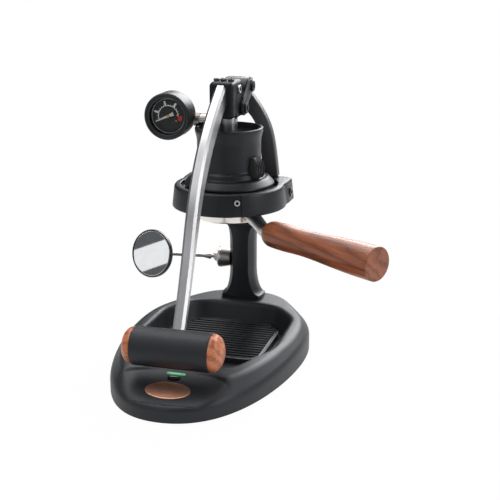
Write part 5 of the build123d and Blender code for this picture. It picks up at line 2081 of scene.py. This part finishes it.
@dataclass
class ShotMirror:
    """Round mirror on a jointed rod."""

    centre: Triple = (-102.8, 16.0, 91.0)
    normal: Triple = (-0.28, -0.93, 0.22)
    socket_depth: float = 14.0
    mount: Triple = (-14.5, 57.0, 81.5)
    mount_reach: float = 20.0
    ball: float = 4.2
    shaft: float = 2.2
    cone_start: float = 6.0
    cone_slope: float = 0.24
    nut_span: Pair = (40.0, 32.0)
    nut_slope: float = 0.2
    collar: float = 4.4
    rim_section: Profile = Profile(
        (
            (0, -9.6), (4.1, -12.9), (5.8, -12.9), (5.8, -5.0), (28.8, -5.0),
            (28.8, -0.6), (28.2, 0.0), (27.2, 0.0), (26.9, -2.3), (0, -2.3),
        ),
        (0, 0.4, 0.4, 1.0, 1.2, 0.4, 0.4, 0.4, 0.1, 0),
        (2, 1, 1, 2, 1, 1, 1, 1, 2),
        6,
    )
    glass_section: Profile = Profile(
        ((0, -2.3), (26.8, -2.3), (26.8, -0.3), (25.8, -0.3), (0, -0.3)),
        (0, 0.1, 0.6, 0.05, 0),
        (2, 1, 1, 2),
        4,
    )
    knob_section: Profile = Profile(
        (
            (0, 0), (10.0, 0), (12.6, 12.0), (12.6, 15.0), (9.0, 16.4), (6.5, 16.6),
            (6.5, 18.4), (5.6, 18.8), (5.8, 20.2), (4.3, 20.2), (0, 16.0),
        ),
        (0, 0.4, 0.8, 0.8, 0.6, 0.3, 0.4, 0.3, 0.3, 0.2, 0),
        (2,) * 10,
        5,
    )

    def rod(self, length: float) -> Array:
        """Rod section: a ball on each end, and a cone and a nut beside them; the largest radius wins.

        Args:
            length: distance between the balls.

        Returns:
            Radius and place of each row.
        """
        s = np.linspace(-self.ball, length + self.ball, 320)
        near = np.minimum(np.abs(s), np.abs(s - length))
        bulge = np.sqrt(np.maximum(self.ball**2 - near**2, 0.0))
        cone = np.where(s > self.cone_start, self.collar - self.cone_slope * (s - self.cone_start), 0.0)
        first, last = (length - reach for reach in self.nut_span)
        nut = np.where((s > first) & (s < last), self.collar - self.nut_slope * (s - first), 0.0)
        inside = (s > 0) & (s < length)
        shaft = np.where(inside, np.maximum(np.maximum(cone, nut), self.shaft), 0.0)
        return np.stack([np.maximum(bulge, shaft), s], axis=1)

    def build(self) -> None:
        """Makes frame, glass, rod and mount."""
        n, c = unit(self.normal), np.array(self.centre)
        rim = turned(self.rim_section.line(), c, n)
        add_piece("mirror_rim", rim, Coat.DARK_STEEL, "mirror", ["mirror_frame"])
        glass = turned(self.glass_section.line(), c, n)
        add_piece("mirror_pane", glass, Coat.MIRROR, "mirror", ["mirror_glass"])
        ball = np.array(self.mount) - (self.mount_reach, 0.0, 0.0)
        run = c - n * self.socket_depth - ball
        rod = turned(self.rod(float(np.linalg.norm(run))), ball, run, 48)
        add_piece("mirror_stem", rod, Coat.SATIN, "mirror_arm", ["mirror_rod"])
        knob = turned(self.knob_section.line(), self.mount, (-1, 0, 0))
        add_piece("mirror_knob", knob, Coat.SATIN, "frame", ["mirror_mount"])


@dataclass(frozen=True)
class Lamp:
    """Soft rectangular lamp, in metres, watts and degrees, aimed at a point and rolled about its aim."""

    name: str
    place: Triple
    size: Pair
    power: float
    roll: float = 0.0
    aim: Triple = (0.0, -0.03, 0.14)

    def build(self) -> None:
        """Adds the lamp to the scene."""
        data = bpy.data.lights.new(self.name, "AREA")
        data.shape, data.energy = "RECTANGLE", self.power
        data.size, data.size_y = self.size
        u, v, w = axes_of(np.array(self.place) - np.array(self.aim))
        c, s = math.cos(math.radians(self.roll)), math.sin(math.radians(self.roll))
        add_to_scene(self.name, data, (c * u + s * v, c * v - s * u, w), self.place)


@dataclass
class Studio:
    """White sweep, soft lamps and the photograph's camera."""

    eye: Triple = (338.6, -1143.2, 452.6)
    ahead: Triple = (-0.2547, 0.9262, -0.2780)
    right: Triple = (0.9642, 0.2651, 0.0)
    focal_pixels: float = 1076.0
    frame_pixels: float = 500.0
    sensor: float = 36.0
    clip: Pair = (0.05, 50.0)
    floor_dark: Colour = (0.66, 0.66, 0.66)
    floor_light: Colour = (0.70, 0.70, 0.70)
    floor_half: float = 30.0
    shadow_y: float = -0.08
    shadow_reach: Pair = (0.16, 0.40)
    shadow_share: float = 0.025
    gloss_reach: Pair = (1.0, 0.4)
    gloss_share: float = 0.6
    sky: Colour = (0.92, 0.96, 1.0)
    sky_strength: float = 0.12
    lamps: tuple[Lamp, ...] = (
        Lamp("lamp_key", (0.85, 1.15, 1.20), (1.0, 1.0), 20.0),
        Lamp("lamp_back", (0.15, 1.75, 1.00), (1.2, 0.8), 28.0),
        Lamp("lamp_side", (1.50, -0.30, 0.80), (0.36, 1.15), 9.0, -33.0),
        Lamp("lamp_top", (-0.40, 0.05, 1.65), (0.9, 1.3), 14.0),
        Lamp("lamp_rear", (-0.52, 1.00, 1.58), (0.8, 0.8), 9.0),
        Lamp("lamp_front", (-0.50, -1.15, 1.55), (1.2, 0.9), 5.4),
        Lamp("lamp_low", (-0.44, -1.60, 0.62), (1.0, 0.32), 1.8),
        Lamp("lamp_left", (-1.45, -0.55, 0.65), (0.5, 0.7), 1.5),
        Lamp("lamp_mirror", (-1.322, -0.898, 0.190), (0.9, 0.06), 0.14, 33.0, (-0.1028, 0.016, 0.091)),
    )

    def camera(self) -> None:
        """Camera at the fitted place: its axes are right, up and backwards."""
        data = bpy.data.cameras.new("camera")
        data.sensor_width = self.sensor
        data.lens = self.sensor * self.focal_pixels / self.frame_pixels
        data.clip_start, data.clip_end = self.clip
        f, r = unit(self.ahead), unit(self.right)
        place = np.array(self.eye) * MM
        bpy.context.scene.camera = add_to_scene("camera", data, (r, np.cross(r, f), -f), place)

    def sweep(self) -> None:
        """Pale floor that the camera sees as white, keeping part of the object's shadow."""
        a = np.linspace(-self.floor_half, self.floor_half, 3)
        grid = np.stack(np.meshgrid(a, a, indexing="ij"), axis=-1).reshape(-1, 2)
        points = np.hstack([grid, np.zeros((len(grid), 1))]) / MM
        floor = mesh_piece("floor", Skin(points, grid_faces(3, 3, False)))
        book = NodeBook("pale_floor")
        fleck = book.noise(book.place(), 30.0, 2.0)
        book.set(Base_Color=book.mix(fleck, self.floor_dark, self.floor_light), Roughness=0.6)
        white = book.node("ShaderNodeEmission", None, {"Color": WHITE, "Strength": 1.0})
        x, y, _ = book.parts(book.place())
        from_shadow = y - self.shadow_y
        far = (x * x + from_shadow * from_shadow).math("SQRT").ramp(*self.shadow_reach)
        near = (x * x + y * y).math("SQRT").ramp(*self.gloss_reach)
        camera, glossy = book.rays("Is Camera Ray", "Is Glossy Ray")
        seen = camera * (1.0 - self.shadow_share + self.shadow_share * far)
        book.blend(seen.math("MAXIMUM", glossy * near * self.gloss_share), book.shader, white)
        floor.data.materials.append(book.owner)

    def world(self) -> None:
        """Dim surroundings for light, white where the camera or glass looks at them."""
        book = NodeBook("studio", world=True)
        book.set(Color=self.sky, Strength=self.sky_strength)
        white = book.node("ShaderNodeBackground", None, {"Color": WHITE, "Strength": 1.0})
        camera, through_glass = book.rays("Is Camera Ray", "Is Transmission Ray")
        book.blend(camera.math("MAXIMUM", through_glass), book.shader, white)
        bpy.context.scene.world = book.owner

    def build(self) -> None:
        """Sets camera, lamps, floor and world."""
        bpy.context.scene.view_settings.view_transform = "Standard"
        self.camera()
        for lamp in self.lamps:
            lamp.build()
        self.sweep()
        self.world()


def main() -> None:
    """Builds the machine and its studio."""
    logging.basicConfig(level=logging.INFO, format="%(message)s")
    for part in (Base(), Tower(), Lever(), BrewGroup(), Gauge(), Portafilter(), ShotMirror(), Studio()):
        part.build()
        log.info("%s done", type(part).__name__)


if __name__ == "__main__":
    main()
